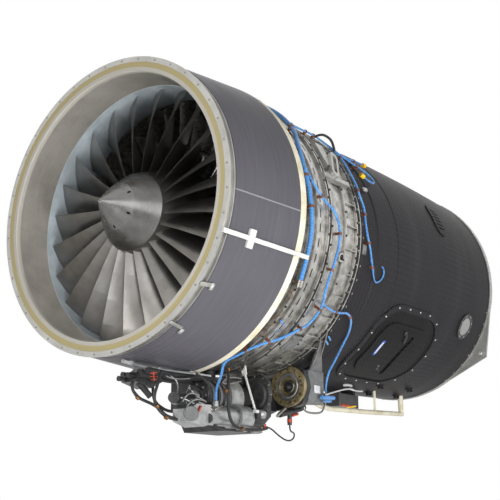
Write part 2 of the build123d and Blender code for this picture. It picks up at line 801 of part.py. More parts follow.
# Intermediate case: one casting of outer ring, struts, middle ring and bearing hub
strut_half = STRUT_THICKNESS / 2
tower_half = TOWER_STRUT_THICKNESS / 2
with BuildPart() as strut:
    with BuildSketch(Plane.XY.offset(154)):
        with BuildLine():
            ThreePointArc(
                (STRUT_STATION - STRUT_CHORD / 2, 0),
                (STRUT_STATION - 12, strut_half),
                (STRUT_STATION + STRUT_CHORD / 2, 0),
            )
            ThreePointArc(
                (STRUT_STATION + STRUT_CHORD / 2, 0),
                (STRUT_STATION - 12, -strut_half),
                (STRUT_STATION - STRUT_CHORD / 2, 0),
            )
        make_face()
    extrude(amount=CASE_BORE + 4 - 154)
with BuildPart() as tower_strut:
    with BuildSketch(Plane.XY.offset(-CASE_BORE - 4)):
        with BuildLine():
            ThreePointArc(
                (STRUT_STATION - STRUT_CHORD / 2, 0),
                (STRUT_STATION, tower_half),
                (STRUT_STATION + STRUT_CHORD / 2, 0),
            )
            ThreePointArc(
                (STRUT_STATION + STRUT_CHORD / 2, 0),
                (STRUT_STATION, -tower_half),
                (STRUT_STATION - STRUT_CHORD / 2, 0),
            )
        make_face()
    extrude(amount=CASE_BORE + 4 - 154)
plain_struts = blade_ring(strut.part, STRUT_COUNT)
del plain_struts[STRUT_COUNT // 2]
with BuildPart() as intermediate_case:
    with BuildSketch(Plane.XZ):
        with BuildLine():
            Polyline(*outer_profile, close=True)
        make_face()
        with BuildLine():
            Polyline(
                (CORE_FRONT, 376),
                (CORE_FRONT, MID_RING_RADIUS),
                (CORE_REAR, MID_RING_RADIUS),
                (CORE_REAR, MID_RING_RADIUS - 6),
                (CORE_FRONT + 24, MID_RING_RADIUS - 6),
                (CORE_REAR, 262),
                (CORE_REAR, 252),
                (CORE_REAR - 6, 246),
                close=True,
            )
        make_face()
        with BuildLine():
            Polyline(
                (CORE_FRONT, HUB_REAR_RADIUS + 4),
                (CORE_REAR, 163),
                (CORE_REAR, BEARING_SEAT),
                (CORE_REAR - 12, BEARING_SEAT),
                (CORE_REAR - 12, 154),
                (CORE_FRONT + 20, 252),
                (CORE_FRONT + 20, BEARING_SEAT),
                (CORE_FRONT, BEARING_SEAT),
                close=True,
            )
        make_face()
    revolve(axis=Axis.X)
    add(plain_struts + [tower_strut.part])
    # The struts end at the hub's cone, so what reaches inside it is turned away
    with BuildSketch(Plane.XZ):
        with BuildLine():
            Polyline(
                (CORE_FRONT + 20, BEARING_SEAT + 2),
                (CORE_FRONT + 20, 252),
                (CORE_REAR - 12, 154),
                (CORE_REAR - 12, BEARING_SEAT + 2),
                close=True,
            )
        make_face()
    revolve(axis=Axis.X, mode=Mode.SUBTRACT)
    with BuildSketch(Plane.XY.offset(-720)):
        with Locations((STRUT_STATION, 0)):
            Circle(TOWER_BORE)
    extrude(amount=720 - 120, mode=Mode.SUBTRACT)
    # Vent slots, the boss with its hole, and the ribs of the rear panels
    with BuildSketch(Plane.XY.offset(660)):
        with Locations((SLOT_STATION, 0)):
            SlotOverall(44, 8, rotation=90)
    slot_cut = extrude(amount=60, mode=Mode.PRIVATE)
    add(blade_ring(slot_cut, SLOT_COUNT), mode=Mode.SUBTRACT)
    panel_rib = Pos(1014, 0, 685) * Box(108, 5, 18, mode=Mode.PRIVATE)
    add(blade_ring(panel_rib, PANEL_RIB_COUNT))
    boss_plane = skin_plane(BOSS_STATION, BOSS_ANGLE, 684)
    with BuildSketch(boss_plane):
        Circle(BOSS_HOLE_RADIUS + 9)
    extrude(amount=18)
    with BuildSketch(boss_plane.offset(-30)):
        Circle(BOSS_HOLE_RADIUS)
    extrude(amount=60, mode=Mode.SUBTRACT)
intermediate_case.part.label = "intermediate_case"
export_step(intermediate_case.part, "parts/intermediate_case.step")

# Core casings
def compressor_bore(station):
    """Bore of the compressor case, which narrows towards the combustor."""
    return 246 - 33 * (station - CORE_REAR) / (COMBUSTOR_FRONT - CORE_REAR)


compressor_vanes = []
for spot, inner_radius in ((955, 166), (1055, 176)):
    vane = straight_blade(spot, inner_radius, compressor_bore(spot) + 2, 24, -34, -2, 3)
    compressor_vanes += blade_ring(vane, STATOR_COUNT)
with BuildPart() as compressor_case:
    with BuildSketch(Plane.XZ):
        with BuildLine():
            Polyline(
                (CORE_REAR, compressor_bore(CORE_REAR)),
                (CORE_REAR, 262),
                (CORE_REAR + 8, 262),
                (CORE_REAR + 8, compressor_bore(CORE_REAR + 8) + 5),
                (COMBUSTOR_FRONT - 8, compressor_bore(COMBUSTOR_FRONT - 8) + 5),
                (COMBUSTOR_FRONT - 8, 262),
                (COMBUSTOR_FRONT, 262),
                (COMBUSTOR_FRONT, compressor_bore(COMBUSTOR_FRONT)),
                close=True,
            )
        make_face()
    revolve(axis=Axis.X)
    add(compressor_vanes)
compressor_case.part.label = "compressor_case"
export_step(compressor_case.part, "parts/compressor_case.step")

with BuildPart() as combustor_case:
    with BuildSketch(Plane.XZ):
        with BuildLine():
            Polyline(
                (COMBUSTOR_FRONT, 222),
                (COMBUSTOR_FRONT, COMBUSTOR_CASE_RADIUS - 12),
                (COMBUSTOR_FRONT + 12, COMBUSTOR_CASE_RADIUS),
                (COMBUSTOR_REAR - 8, COMBUSTOR_CASE_RADIUS),
                (COMBUSTOR_REAR - 8, COMBUSTOR_CASE_RADIUS + 12),
                (COMBUSTOR_REAR, COMBUSTOR_CASE_RADIUS + 12),
                (COMBUSTOR_REAR, COMBUSTOR_CASE_RADIUS - 5),
                (COMBUSTOR_FRONT + 14, COMBUSTOR_CASE_RADIUS - 5),
                (COMBUSTOR_FRONT + 6, COMBUSTOR_CASE_RADIUS - 13),
                (COMBUSTOR_FRONT + 6, 222),
                close=True,
            )
        make_face()
    revolve(axis=Axis.X)
    with BuildSketch(Plane.XY.offset(COMBUSTOR_CASE_RADIUS - 20)):
        with Locations((NOZZLE_STATION, 0)):
            Circle(8)
    nozzle_hole = extrude(amount=40, mode=Mode.PRIVATE)
    add(blade_ring(nozzle_hole, NOZZLE_COUNT), mode=Mode.SUBTRACT)
combustor_case.part.label = "combustor_case"
export_step(combustor_case.part, "parts/combustor_case.step")

with BuildPart() as fuel_nozzle:
    with BuildSketch(Plane.XY.offset(NOZZLE_RADIUS)):
        with Locations((NOZZLE_STATION, 0)):
            Circle(7)
    extrude(amount=MANIFOLD_RADIUS - NOZZLE_RADIUS)
    with BuildSketch(Plane.XY.offset(COMBUSTOR_CASE_RADIUS + SEAT_GAP)):
        with Locations((NOZZLE_STATION, 0)):
            Rectangle(26, 26)
    extrude(amount=8)
    with Locations((NOZZLE_STATION, 0, NOZZLE_RADIUS)):
        Box(15, 18, 18)
    with BuildSketch(Plane.YZ.offset(NOZZLE_STATION)):
        with Locations((0, NOZZLE_RADIUS)):
            Circle(7)
    extrude(amount=16 - CLEARANCE)
with BuildPart() as fuel_manifold:
    with BuildSketch(Plane.XZ):
        with Locations((NOZZLE_STATION, MANIFOLD_RADIUS)):
            Rectangle(15, 12)
    revolve(axis=Axis.X)
    add(blade_ring(fuel_nozzle.part, NOZZLE_COUNT))
fuel_manifold.part.label = "fuel_manifold"
export_step(fuel_manifold.part, "parts/fuel_manifold.step")

combustion_liner = turned(
    (1494, 280),
    (1440, 300),
    (1300, 300),
    (1280, 286),
    (1280, 216),
    (1300, 203),
    (1440, 198),
    (1494, 203),
    (1494, 206),
    (1440, 201),
    (1301, 206),
    (1283, 217.5),
    (1283, 284.5),
    (1301, 297),
    (1440, 297),
    (1494, 277),
)
combustion_liner.part.label = "combustion_liner"
export_step(combustion_liner.part, "parts/combustion_liner.step")

nozzle_vanes = blade_ring(straight_blade(1512, 202, 274, 26, 42, 3, 5), 18)
for spot, inner_radius, outer_radius in ((1630, 218, 302), (1740, 240, 336)):
    nozzle_vane = straight_blade(spot, inner_radius, outer_radius, 30, 36, 4, 6)
    nozzle_vanes += blade_ring(nozzle_vane, 18)
with BuildPart() as turbine_case:
    with BuildSketch(Plane.XZ):
        with BuildLine():
            Polyline(
                (1494, 272),
                (1494, 280),
                (COMBUSTOR_REAR, 280),
                (COMBUSTOR_REAR, COMBUSTOR_CASE_RADIUS + 12),
                (COMBUSTOR_REAR + 8, COMBUSTOR_CASE_RADIUS + 12),
                (COMBUSTOR_REAR + 8, 276),
                (1598, 276),
                (1600, 306),
                (1650, 306),
                (1652, 325),
                (1710, 325),
                (1714, 340),
                (1758, 340),
                (1760, 353),
                (1820, 353),
                (TURBINE_REAR, EXHAUST_RADIUS),
                (TURBINE_REAR, EXHAUST_RADIUS - 8),
                (1820, 347),
                (1766, 347),
                (1762, 334),
                (1718, 334),
                (1714, 319),
                (1658, 319),
                (1654, 300),
                (1606, 300),
                (1602, 270),
                (1534, 270),
                (1534, 272),
                close=True,
            )
        make_face()
        with Locations((1512, 203)):
            Rectangle(36, 6)
        with Locations((1630, 218), (1740, 240)):
            Rectangle(34, 4)
    revolve(axis=Axis.X)
    add(nozzle_vanes)
turbine_case.part.label = "turbine_case"
export_step(turbine_case.part, "parts/turbine_case.step")

frame_middle = (TURBINE_REAR + EXHAUST_FRAME_REAR) / 2
frame_length = EXHAUST_FRAME_REAR - TURBINE_REAR
frame_strut = straight_blade(frame_middle, TAIL_RADIUS - 4, EXHAUST_RADIUS - 4, 70, 0, 0.5, 12)
with BuildPart() as exhaust_frame:
    with BuildSketch(Plane.XZ):
        with Locations((frame_middle, EXHAUST_RADIUS - 4)):
            Rectangle(frame_length, 8)
        with Locations((frame_middle, TAIL_RADIUS - 4)):
            Rectangle(frame_length, 8)
        with Locations((2000, (REAR_BEARING_SEAT + TAIL_RADIUS - 6) / 2)):
            Rectangle(20, TAIL_RADIUS - 6 - REAR_BEARING_SEAT)
    revolve(axis=Axis.X)
    add(blade_ring(frame_strut, 7))
exhaust_frame.part.label = "exhaust_frame"
export_step(exhaust_frame.part, "parts/exhaust_frame.step")

core_cowl = turned(
    (CORE_REAR, MID_RING_RADIUS - 4),
    (CORE_REAR, MID_RING_RADIUS),
    (960, 424),
    (1500, 436),
    (1800, 420),
    (EXHAUST_FRAME_REAR, 384),
    (EXHAUST_FRAME_REAR, EXHAUST_RADIUS + SEAT_GAP),
    (EXHAUST_FRAME_REAR - 6, EXHAUST_RADIUS + SEAT_GAP),
    (EXHAUST_FRAME_REAR - 6, 380.5),
    (1800, 416),
    (1500, 432),
    (960, 420),
)
core_cowl.part.label = "core_cowl"
export_step(core_cowl.part, "parts/core_cowl.step")


def lobed_outline(station, crest_radius, trough_radius, half_width):
    """A closed outline of straight runs round the mixer's lobes, at one station."""
    corners = []
    pitch = 360 / MIXER_LOBES
    for lobe in range(MIXER_LOBES):
        middle = lobe * pitch
        for angle, radius in (
            (-half_width, crest_radius),
            (half_width, crest_radius),
            (pitch / 2 - half_width, trough_radius),
            (pitch / 2 + half_width, trough_radius),
        ):
            turn = radians(middle + angle)
            corners.append((radius * cos(turn), radius * sin(turn)))
    with BuildSketch(Plane.YZ.offset(station)) as outline:
        with BuildLine():
            Polyline(*corners, close=True)
        make_face()
    return outline.sketch.faces()[0]


# Exhaust mixer: a lobed sheet that folds the hot and cold streams into each other
with BuildPart() as exhaust_mixer:
    for inset, lobe_width, mode in (
        (0, LOBE_HALF_WIDTH, Mode.ADD),
        (MIXER_WALL, LOBE_HALF_WIDTH - 0.5, Mode.SUBTRACT),
    ):
        root = EXHAUST_RADIUS - inset
        front_outline = lobed_outline(EXHAUST_FRAME_REAR, root, root, lobe_width)
        rear_outline = lobed_outline(MIXER_REAR, MIXER_CREST - inset, MIXER_TROUGH - inset, lobe_width)
        loft([front_outline, rear_outline], ruled=True, mode=mode)
exhaust_mixer.part.label = "exhaust_mixer"
export_step(exhaust_mixer.part, "parts/exhaust_mixer.step")

tail_cone = turned(
    (EXHAUST_FRAME_REAR, TAIL_RADIUS - 4),
    (EXHAUST_FRAME_REAR, TAIL_RADIUS),
    (2160, 196),
    (2270, 179),
    (2380, 150),
    (2480, 111),
    (2560, 72),
    (CONE_REAR - 8, 40),
    (CONE_REAR, 0),
    (CONE_REAR - 4, 0),
    (CONE_REAR - 12, 37),
    (2559, 68),
    (2479, 107),
    (2379, 146),
    (2269, 175),
    (2160, 192),
)
tail_cone.part.label = "tail_cone"
export_step(tail_cone.part, "parts/tail_cone.step")

# Bypass duct, its flanges, the access panel and the port
panel_plane = skin_plane(PANEL_STATION, PANEL_ANGLE, DUCT_MIDDLE_RADIUS - 160)
port_plane = skin_plane(PORT_STATION, PORT_ANGLE, DUCT_MIDDLE_RADIUS - 60)


def panel_block(margin):
    """A block of the access panel's rounded outline, grown by a margin, through the duct's skin."""
    with BuildPart() as block:
        with BuildSketch(panel_plane):
            RectangleRounded(PANEL_LENGTH + 2 * margin, PANEL_WIDTH + 2 * margin, PANEL_CORNER + margin)
        extrude(amount=220)
    return block.part


def port_block(radius):
    """A round block through the duct's skin at the port."""
    with BuildPart() as block:
        with BuildSketch(port_plane):
            Circle(radius)
        extrude(amount=90)
    return block.part


rim_band = duct_layer(-DUCT_WALL / 2, RIM_HEIGHT) & (panel_block(RIM_MARGIN) - panel_block(3))
with BuildPart() as bypass_duct:
    add(duct_layer(-DUCT_WALL, 0))
    add(rim_band)
    add(panel_block(-OPENING_MARGIN), mode=Mode.SUBTRACT)
    add(port_block(PORT_RADIUS + CLEARANCE), mode=Mode.SUBTRACT)
bypass_duct.part.label = "bypass_duct"
export_step(bypass_duct.part, "parts/bypass_duct.step")

# The panel lies on the duct's skin inside the rim; its middle is raised, with a curved finger groove
groove_arc = RadiusArc((70, -150), (70, 110), HANDLE_RADIUS)
with BuildPart() as groove_block:
    with BuildSketch(panel_plane):
        SlotArc(groove_arc, 34)
    extrude(amount=220)
raised_middle = duct_layer(PANEL_THICKNESS - 1, PANEL_THICKNESS + 9) & panel_block(-64)
panel_sheet = duct_layer(SEAT_GAP, PANEL_THICKNESS) & panel_block(0)
groove_cut = duct_layer(PANEL_THICKNESS - 2, PANEL_THICKNESS + 20) & groove_block.part
with BuildPart() as access_panel:
    add(panel_sheet)
    add(raised_middle)
    add(groove_cut, mode=Mode.SUBTRACT)
access_panel.part.label = "access_panel"
export_step(access_panel.part, "parts/access_panel.step")

with BuildPart() as port_cover:
    add(duct_layer(SEAT_GAP, 9) & (port_block(PORT_RIM) - port_block(PORT_RADIUS - 10)))
    add(duct_layer(-3, 5) & port_block(PORT_RADIUS))
port_cover.part.label = "port_cover"
export_step(port_cover.part, "parts/port_cover.step")

# Ring that ties the duct to the intermediate case
duct_front_flange = turned(
    (DUCT_FRONT, duct_radius(DUCT_FRONT) + SEAT_GAP),
    (DUCT_FRONT, CASE_FLANGE_RADIUS),
    (DUCT_FRONT + FLANGE_THICKNESS, CASE_FLANGE_RADIUS),
    (DUCT_FRONT + FLANGE_THICKNESS, duct_radius(DUCT_FRONT) + 6),
    (DUCT_FRONT + 24, duct_radius(DUCT_FRONT) + 6),
    (DUCT_FRONT + 24, duct_radius(DUCT_FRONT) + SEAT_GAP),
)
duct_front_flange.part.label = "duct_front_flange"
export_step(duct_front_flange.part, "parts/duct_front_flange.step")

with BuildPart() as duct_rear_flange:
    with BuildSketch(Plane.YZ.offset(DUCT_REAR - REAR_FLANGE_DEPTH)):
        Circle(DOUBLER_RADIUS)
        Circle(DUCT_REAR_RADIUS + SEAT_GAP, mode=Mode.SUBTRACT)
    extrude(amount=REAR_FLANGE_DEPTH)
    with BuildSketch(Plane.XY.offset(DUCT_REAR_RADIUS - 40)):
        with Locations((REAR_HOLE_STATION, 0)):
            Circle(REAR_HOLE_RADIUS)
    rear_hole = extrude(amount=80, mode=Mode.PRIVATE)
    add(blade_ring(rear_hole, REAR_FLANGE_HOLES), mode=Mode.SUBTRACT)
duct_rear_flange.part.label = "duct_rear_flange"
export_step(duct_rear_flange.part, "parts/duct_rear_flange.step")

# Small support brackets low on the duct, in two pairs
with BuildPart() as duct_brackets:
    for station, angle in BRACKET_PLACES:
        foot_plane = skin_plane(station, angle, DUCT_REAR_RADIUS - 20)
        with BuildPart(foot_plane, mode=Mode.PRIVATE) as foot_block:
            Box(62, 24, 120)
        with BuildPart(foot_plane, mode=Mode.PRIVATE) as ear_block:
            with Locations((-16, 0, 0), (16, 0, 0)):
                Box(7, 20, 120)
        add(duct_layer(SEAT_GAP, 5) & foot_block.part)
        add(duct_layer(4, 22) & ear_block.part)
duct_brackets.part.label = "duct_brackets"
export_step(duct_brackets.part, "parts/duct_brackets.step")

# Oval louvred outlet high on the duct
louvre_plane = skin_plane(LOUVRE_STATION, LOUVRE_ANGLE, DUCT_MIDDLE_RADIUS - 60)
with BuildPart() as louvre_block:
    with BuildSketch(louvre_plane):
        SlotOverall(230, 130, rotation=90)
        with GridLocations(0, 26, 1, 6):
            SlotOverall(78, 9, mode=Mode.SUBTRACT)
    extrude(amount=120)
louvre_plate = duct_layer(SEAT_GAP, 6) & louvre_block.part
louvre_plate.label = "louvre_plate"
export_step(louvre_plate, "parts/louvre_plate.step")

# Rear mount: a triangular plate that stands off the rear flange
with BuildPart() as rear_mount_bracket:
    with BuildSketch(Plane.YZ.offset(MOUNT_FRONT)):
        with BuildLine():
            outer_corner = skin_point(0, MOUNT_ANGLE, MOUNT_RADIUS + 40)
            left_corner = skin_point(0, MOUNT_ANGLE + MOUNT_SPREAD, DOUBLER_RADIUS + 6)
            right_corner = skin_point(0, MOUNT_ANGLE - MOUNT_SPREAD, DOUBLER_RADIUS + 6)
            Polyline(outer_corner[1:], left_corner[1:], (0, 0), right_corner[1:], close=True)
        make_face()
        Circle(DOUBLER_RADIUS + SEAT_GAP, mode=Mode.SUBTRACT)
    extrude(amount=MOUNT_THICKNESS)
    with BuildSketch(Plane.YZ.offset(MOUNT_FRONT - 10)):
        with Locations(skin_point(0, MOUNT_ANGLE, MOUNT_RADIUS)[1:]):
            Circle(MOUNT_BORE_RADIUS + 10)
    extrude(amount=MOUNT_THICKNESS + 20)
    with BuildSketch(Plane.YZ.offset(MOUNT_FRONT - 20)):
        with Locations(skin_point(0, MOUNT_ANGLE, MOUNT_RADIUS)[1:]):
            Circle(MOUNT_BORE_RADIUS)
    extrude(amount=MOUNT_THICKNESS + 40, mode=Mode.SUBTRACT)
rear_mount_bracket.part.label = "rear_mount_bracket"
export_step(rear_mount_bracket.part, "parts/rear_mount_bracket.step")


# Front mount on the side of the intermediate case: a black pad with a slotted fork
with BuildPart() as front_mount_bracket:
    pad_plane = skin_plane(870, 151, 690)
    with BuildSketch(pad_plane):
        Rectangle(64, 150)
    extrude(amount=34)
    fork_plane = skin_plane(900, 156, 716)
    with BuildSketch(fork_plane):
        with Locations((0, 0)):
            SlotOverall(190, 58, rotation=62)
            SlotOverall(140, 26, rotation=62, mode=Mode.SUBTRACT)
    extrude(amount=24)
    flange_plane = skin_plane(896, 162.3, 692)
    with BuildSketch(flange_plane):
        Rectangle(228, 24)
    extrude(amount=30)
    # The case's steps fit into the underside
    with BuildSketch(Plane.XZ):
        with BuildLine():
            steps = [(station, radius + SEAT_GAP) for station, radius in outer_profile[1:-1]]
            Polyline(*steps, (CASE_REAR, 600), (CASE_JOINT, 600), close=True)
        make_face()
    revolve(axis=Axis.X, mode=Mode.SUBTRACT)
front_mount_bracket.part.label = "front_mount_bracket"
export_step(front_mount_bracket.part, "parts/front_mount_bracket.step")


# White conduit along the fan case, with its saddle and its foot on the intermediate case
with BuildPart() as conduit_strut:
    with BuildSketch(radial_plane(CONDUIT_ANGLE)):
        with BuildLine():
            conduit_slope = (SHELL_REAR_RADIUS + 4.5 - RIM_RADIUS) / SHELL_REAR
            rear_radius = RIM_RADIUS + conduit_slope * CONDUIT_REAR
            Polyline(
                (0.5, RIM_RADIUS + SEAT_GAP),
                (0.5, RIM_RADIUS + CONDUIT_DEPTH),
                (CONDUIT_REAR, rear_radius + CONDUIT_DEPTH),
                (CONDUIT_REAR, CASE_FLANGE_RADIUS + SEAT_GAP),
                (CASE_JOINT - 4, CASE_FLANGE_RADIUS + SEAT_GAP),
                (CASE_JOINT - 4, rear_radius),
                (RIM_FLANGE, RIM_RADIUS + SEAT_GAP),
                close=True,
            )
        make_face()
    extrude(amount=CONDUIT_WIDTH / 2, both=True)
    with BuildSketch(radial_plane(CONDUIT_ANGLE)):
        with BuildLine():
            Polyline(
                (SADDLE_STATION - 19, shell_radius(SADDLE_STATION - 19) + SEAT_GAP + 1),
                (SADDLE_STATION - 19, shell_radius(SADDLE_STATION - 19) + 12),
                (SADDLE_STATION + 19, shell_radius(SADDLE_STATION + 19) + 12),
                (SADDLE_STATION + 19, shell_radius(SADDLE_STATION + 19) + SEAT_GAP + 1),
                close=True,
            )
        make_face()
    extrude(amount=42, both=True)
    with BuildSketch(Plane.XZ):
        with BuildLine():
            Polyline(
                (SHELL_FRONT, 400),
                (SHELL_FRONT, SHELL_FRONT_RADIUS + SEAT_GAP),
                (SHELL_REAR, SHELL_REAR_RADIUS + SEAT_GAP),
                (SHELL_REAR, 400),
                close=True,
            )
        make_face()
    revolve(axis=Axis.X, mode=Mode.SUBTRACT)
conduit_strut.part.label = "conduit_strut"
export_step(conduit_strut.part, "parts/conduit_strut.step")

# Rail under the fan case, which carries the junction unit on two gussets
rail_points = [(100, -26, -721.5), (222, -24, -735), (330, -58, -743), (590, -138, -752)]
with BuildPart() as bottom_rail:
    add(tube(rail_points, RAIL_DIAMETER))
    for station, depth in ((215, -24), (318, -54)):
        with BuildSketch(Plane(origin=(0, depth, 0), x_dir=(1, 0, 0), z_dir=(0, -1, 0))):
            with BuildLine():
                Polyline(
                    (station + 6, -731),
                    (station - 12, -731),
                    (station - 64, -772),
                    (station - 46, -772),
                    close=True,
                )
            make_face()
        extrude(amount=5, both=True)
    for station, angle in ((150, -92.2), (480, -98.5)):
        with BuildSketch(skin_plane(station, angle, shell_radius(station + 13) + SEAT_GAP)):
            Rectangle(26, 12)
        extrude(amount=6)
bottom_rail.part.label = "bottom_rail"
export_step(bottom_rail.part, "parts/bottom_rail.step")


def skin_radius(station):
    """Outermost radius, near a station, of the skin that a clamp would stand on."""
    if station >= DUCT_FRONT + 24:
        return max(duct_radius(station - 8), duct_radius(station + 8))
    if station >= CASE_REAR - 16:
        return CASE_FLANGE_RADIUS
    if 950 <= station <= 1080:
        return 700
    return max(case_radius(station - 8), case_radius(station), case_radius(station + 8))


def clamp(before, after, tube_radius):
    """A ring round the middle of a harness's run, on a foot that stands on the skin."""
    middle = (Vector(*before) + Vector(*after)) / 2
    reach = sqrt(middle.Y**2 + middle.Z**2)
    angle = degrees(atan2(middle.Z, middle.Y))
    skin = skin_radius(middle.X) + SEAT_GAP
    with BuildPart() as piece:
        with BuildSketch(Plane(origin=middle, z_dir=Vector(*after) - Vector(*before))):
            Circle(tube_radius + 4)
            Circle(tube_radius + SEAT_GAP, mode=Mode.SUBTRACT)
        extrude(amount=6, both=True)
        with BuildSketch(skin_plane(middle.X, angle, skin)):
            Rectangle(12, 12)
        extrude(amount=reach - tube_radius - 2 - skin)
    return piece.part


def plug(inner, end, radius, length):
    """A round plug that carries on from a harness's end."""
    with BuildPart() as piece:
        with BuildSketch(Plane(origin=end, z_dir=Vector(*end) - Vector(*inner))):
            Circle(radius)
        extrude(amount=length)
    return piece.part


def stand(station, angle, top, size):
    """A block that stands on the skin under a plug."""
    skin = skin_radius(station) + SEAT_GAP
    with BuildPart() as piece:
        with BuildSketch(skin_plane(station, angle, skin)):
            Rectangle(size, size)
        extrude(amount=top - skin)
    return piece.part


# Wiring harnesses, clipped round the engine
main_route = skin_route(
    728,
    (706, 118),
    (702, 128),
    (690, 137),
    (655, 146),
    (608, 153),
    (586, 159.5),
    (580, 165),
    (584, 171),
    (594, 177),
    (604, -177),
    (611, -171),
    (614, -164),
    (616, -158),
    (624, -152.5),
)
harness_main = tube(main_route, MAIN_DIAMETER)
harness_main.label = "harness_main"
export_step(harness_main, "parts/harness_main.step")

control_route = [
    skin_point(557, 141, 710),
    skin_point(561, 146, 710),
    skin_point(582, 151, 709),
    skin_point(602, 155.5, 706),
    skin_point(621, 160, 708),
    skin_point(624, 165, 716),
    skin_point(636, 169, 722),
] + skin_route(
    726,
    (672, 172.5),
    (722, 175.5),
    (803, 177.5),
    (853, -177),
    (862, -171),
    (853, -164),
    (842, -155),
    (856, -149.5),
    (882, -146),
    (882, -141),
    (862, -136),
    (800, -131.5),
    (745, -127),
    (640, -122),
    (590, -113),
) + [(566, -238, -692), (552, -236, -757), (506, -240, -826), (506, -240, -882)]
branch_route = [
    skin_point(882, -146, 726),
    skin_point(925, -145.3, 718),
    skin_point(997, -144, 713),
    skin_point(1073, -144, 712),
    skin_point(1150, -145, 710),
    skin_point(1221, -142, 706),
    skin_point(1266, -136.5, 706),
    skin_point(1306, -128, 707),
    (1334, -390, -598),
    (1354, -326, -668),
    (1356, -306, -732),
    (1356, -306, -778),
]
with BuildPart() as harness_control:
    add(tube(control_route, CONTROL_DIAMETER))
    add(tube(branch_route, BRANCH_DIAMETER))
harness_control.part.label = "harness_control"
export_step(harness_control.part, "parts/harness_control.step")

sensor_route = [
    skin_point(738, 137, 724),
    skin_point(820, 137, 724),
    skin_point(930, 134.5, 721),
    skin_point(1030, 133, 716),
    skin_point(1085, 136, 712),
    skin_point(1116, 141, 712),
    skin_point(1117, 147, 712),
    skin_point(1110, 153, 712),
    skin_point(1118, 159.5, 712),
    skin_point(1117, 165, 711),
    skin_point(1146, 170, 706),
    skin_point(1136, 175.5, 706),
    skin_point(1156, -178, 704),
    skin_point(1192, -173.5, 700),
    skin_point(1223, -168.5, 698),
    skin_point(1258, -164, 698),
]
capped_routes = [
    [
        skin_point(1030, 133, 716),
        skin_point(1110, 137, 712),
        skin_point(1184, 140, 706),
        skin_point(1288, 138.8, 706),
        skin_point(1380, 137.4, 706),
        skin_point(1438, 137.4, 706),
    ],
    [
        skin_point(1184, 140, 706),
        skin_point(1262, 142.6, 706),
        skin_point(1330, 144, 706),
        skin_point(1388, 146.2, 706),
        skin_point(1408, 149.2, 706),
        skin_point(1380, 152, 706),
        skin_point(1330, 151.8, 706),
        skin_point(1290, 150.4, 706),
    ],
]
with BuildPart() as harness_sensor:
    add(tube(sensor_route, SENSOR_DIAMETER))
    add(tube(capped_routes[0], LEAD_DIAMETER))
    add(tube(capped_routes[1], LEAD_DIAMETER))
harness_sensor.part.label = "harness_sensor"
export_step(harness_sensor.part, "parts/harness_sensor.step")

with BuildPart() as protective_caps:
    for route in capped_routes:
        add(plug(route[-2], route[-1], CAP_RADIUS, CAP_LENGTH))
protective_caps.part.label = "protective_caps"
export_step(protective_caps.part, "parts/protective_caps.step")

with BuildPart() as harness_clamps:
    for route, runs, diameter in (
        (main_route, (2, 6, 8, 11), MAIN_DIAMETER),
        (control_route, (7, 10, 12, 15, 17, 19, 20), CONTROL_DIAMETER),
        (branch_route, (2, 4), BRANCH_DIAMETER),
        (sensor_route, (1, 2, 5, 8, 10, 12, 14), SENSOR_DIAMETER),
        (capped_routes[0], (3,), LEAD_DIAMETER),
        (capped_routes[1], (1,), LEAD_DIAMETER),
    ):
        for run in runs:
            add(clamp(route[run], route[run + 1], diameter / 2))
harness_clamps.part.label = "harness_clamps"
export_step(harness_clamps.part, "parts/harness_clamps.step")

# The free tail of the sensor harness, which curls back over the duct
tail_route = [
    skin_point(1258, -164, 698),
    skin_point(1276, -161.7, 698),
    skin_point(1306, -160.4, 697),
    skin_point(1336, -161.4, 696),
    skin_point(1360, -163.2, 696),
    skin_point(1366, -165.6, 696),
    skin_point(1352, -167.6, 696),
    skin_point(1335, -168.0, 696),
]
harness_tail = tube(tail_route, TAIL_DIAMETER)
harness_tail.label = "harness_tail"
export_step(harness_tail, "parts/harness_tail.step")

with BuildPart() as harness_plugs:
    add(plug(main_route[1], main_route[0], 21, 40))
    add(stand(708, 115.5, 715, 20))
    add(plug(main_route[-2], main_route[-1], 20, 34))
    add(stand(630, -151, 714, 16))
    add(plug(control_route[1], control_route[0], 8.4, 18))
    add(plug(sensor_route[1], sensor_route[0], 9, 14))
harness_plugs.part.label = "harness_plugs"
export_step(harness_plugs.part, "parts/harness_plugs.step")


def yz_block(front, rear, *corners):
    """A block with its outline across the engine, in (y, z) corners, between two stations."""
    with BuildPart() as block:
        with BuildSketch(Plane.YZ.offset(front)):
            with BuildLine():
                Polyline(*corners, close=True)
            make_face()
        extrude(amount=rear - front)
    return block.part


def x_cylinder(front, rear, y, z, radius):
    """A cylinder along the engine's axis direction, between two stations."""
    with BuildPart() as cylinder:
        with BuildSketch(Plane.YZ.offset(front)):
            with Locations((y, z)):
                Circle(radius)
        extrude(amount=rear - front)
    return cylinder.part


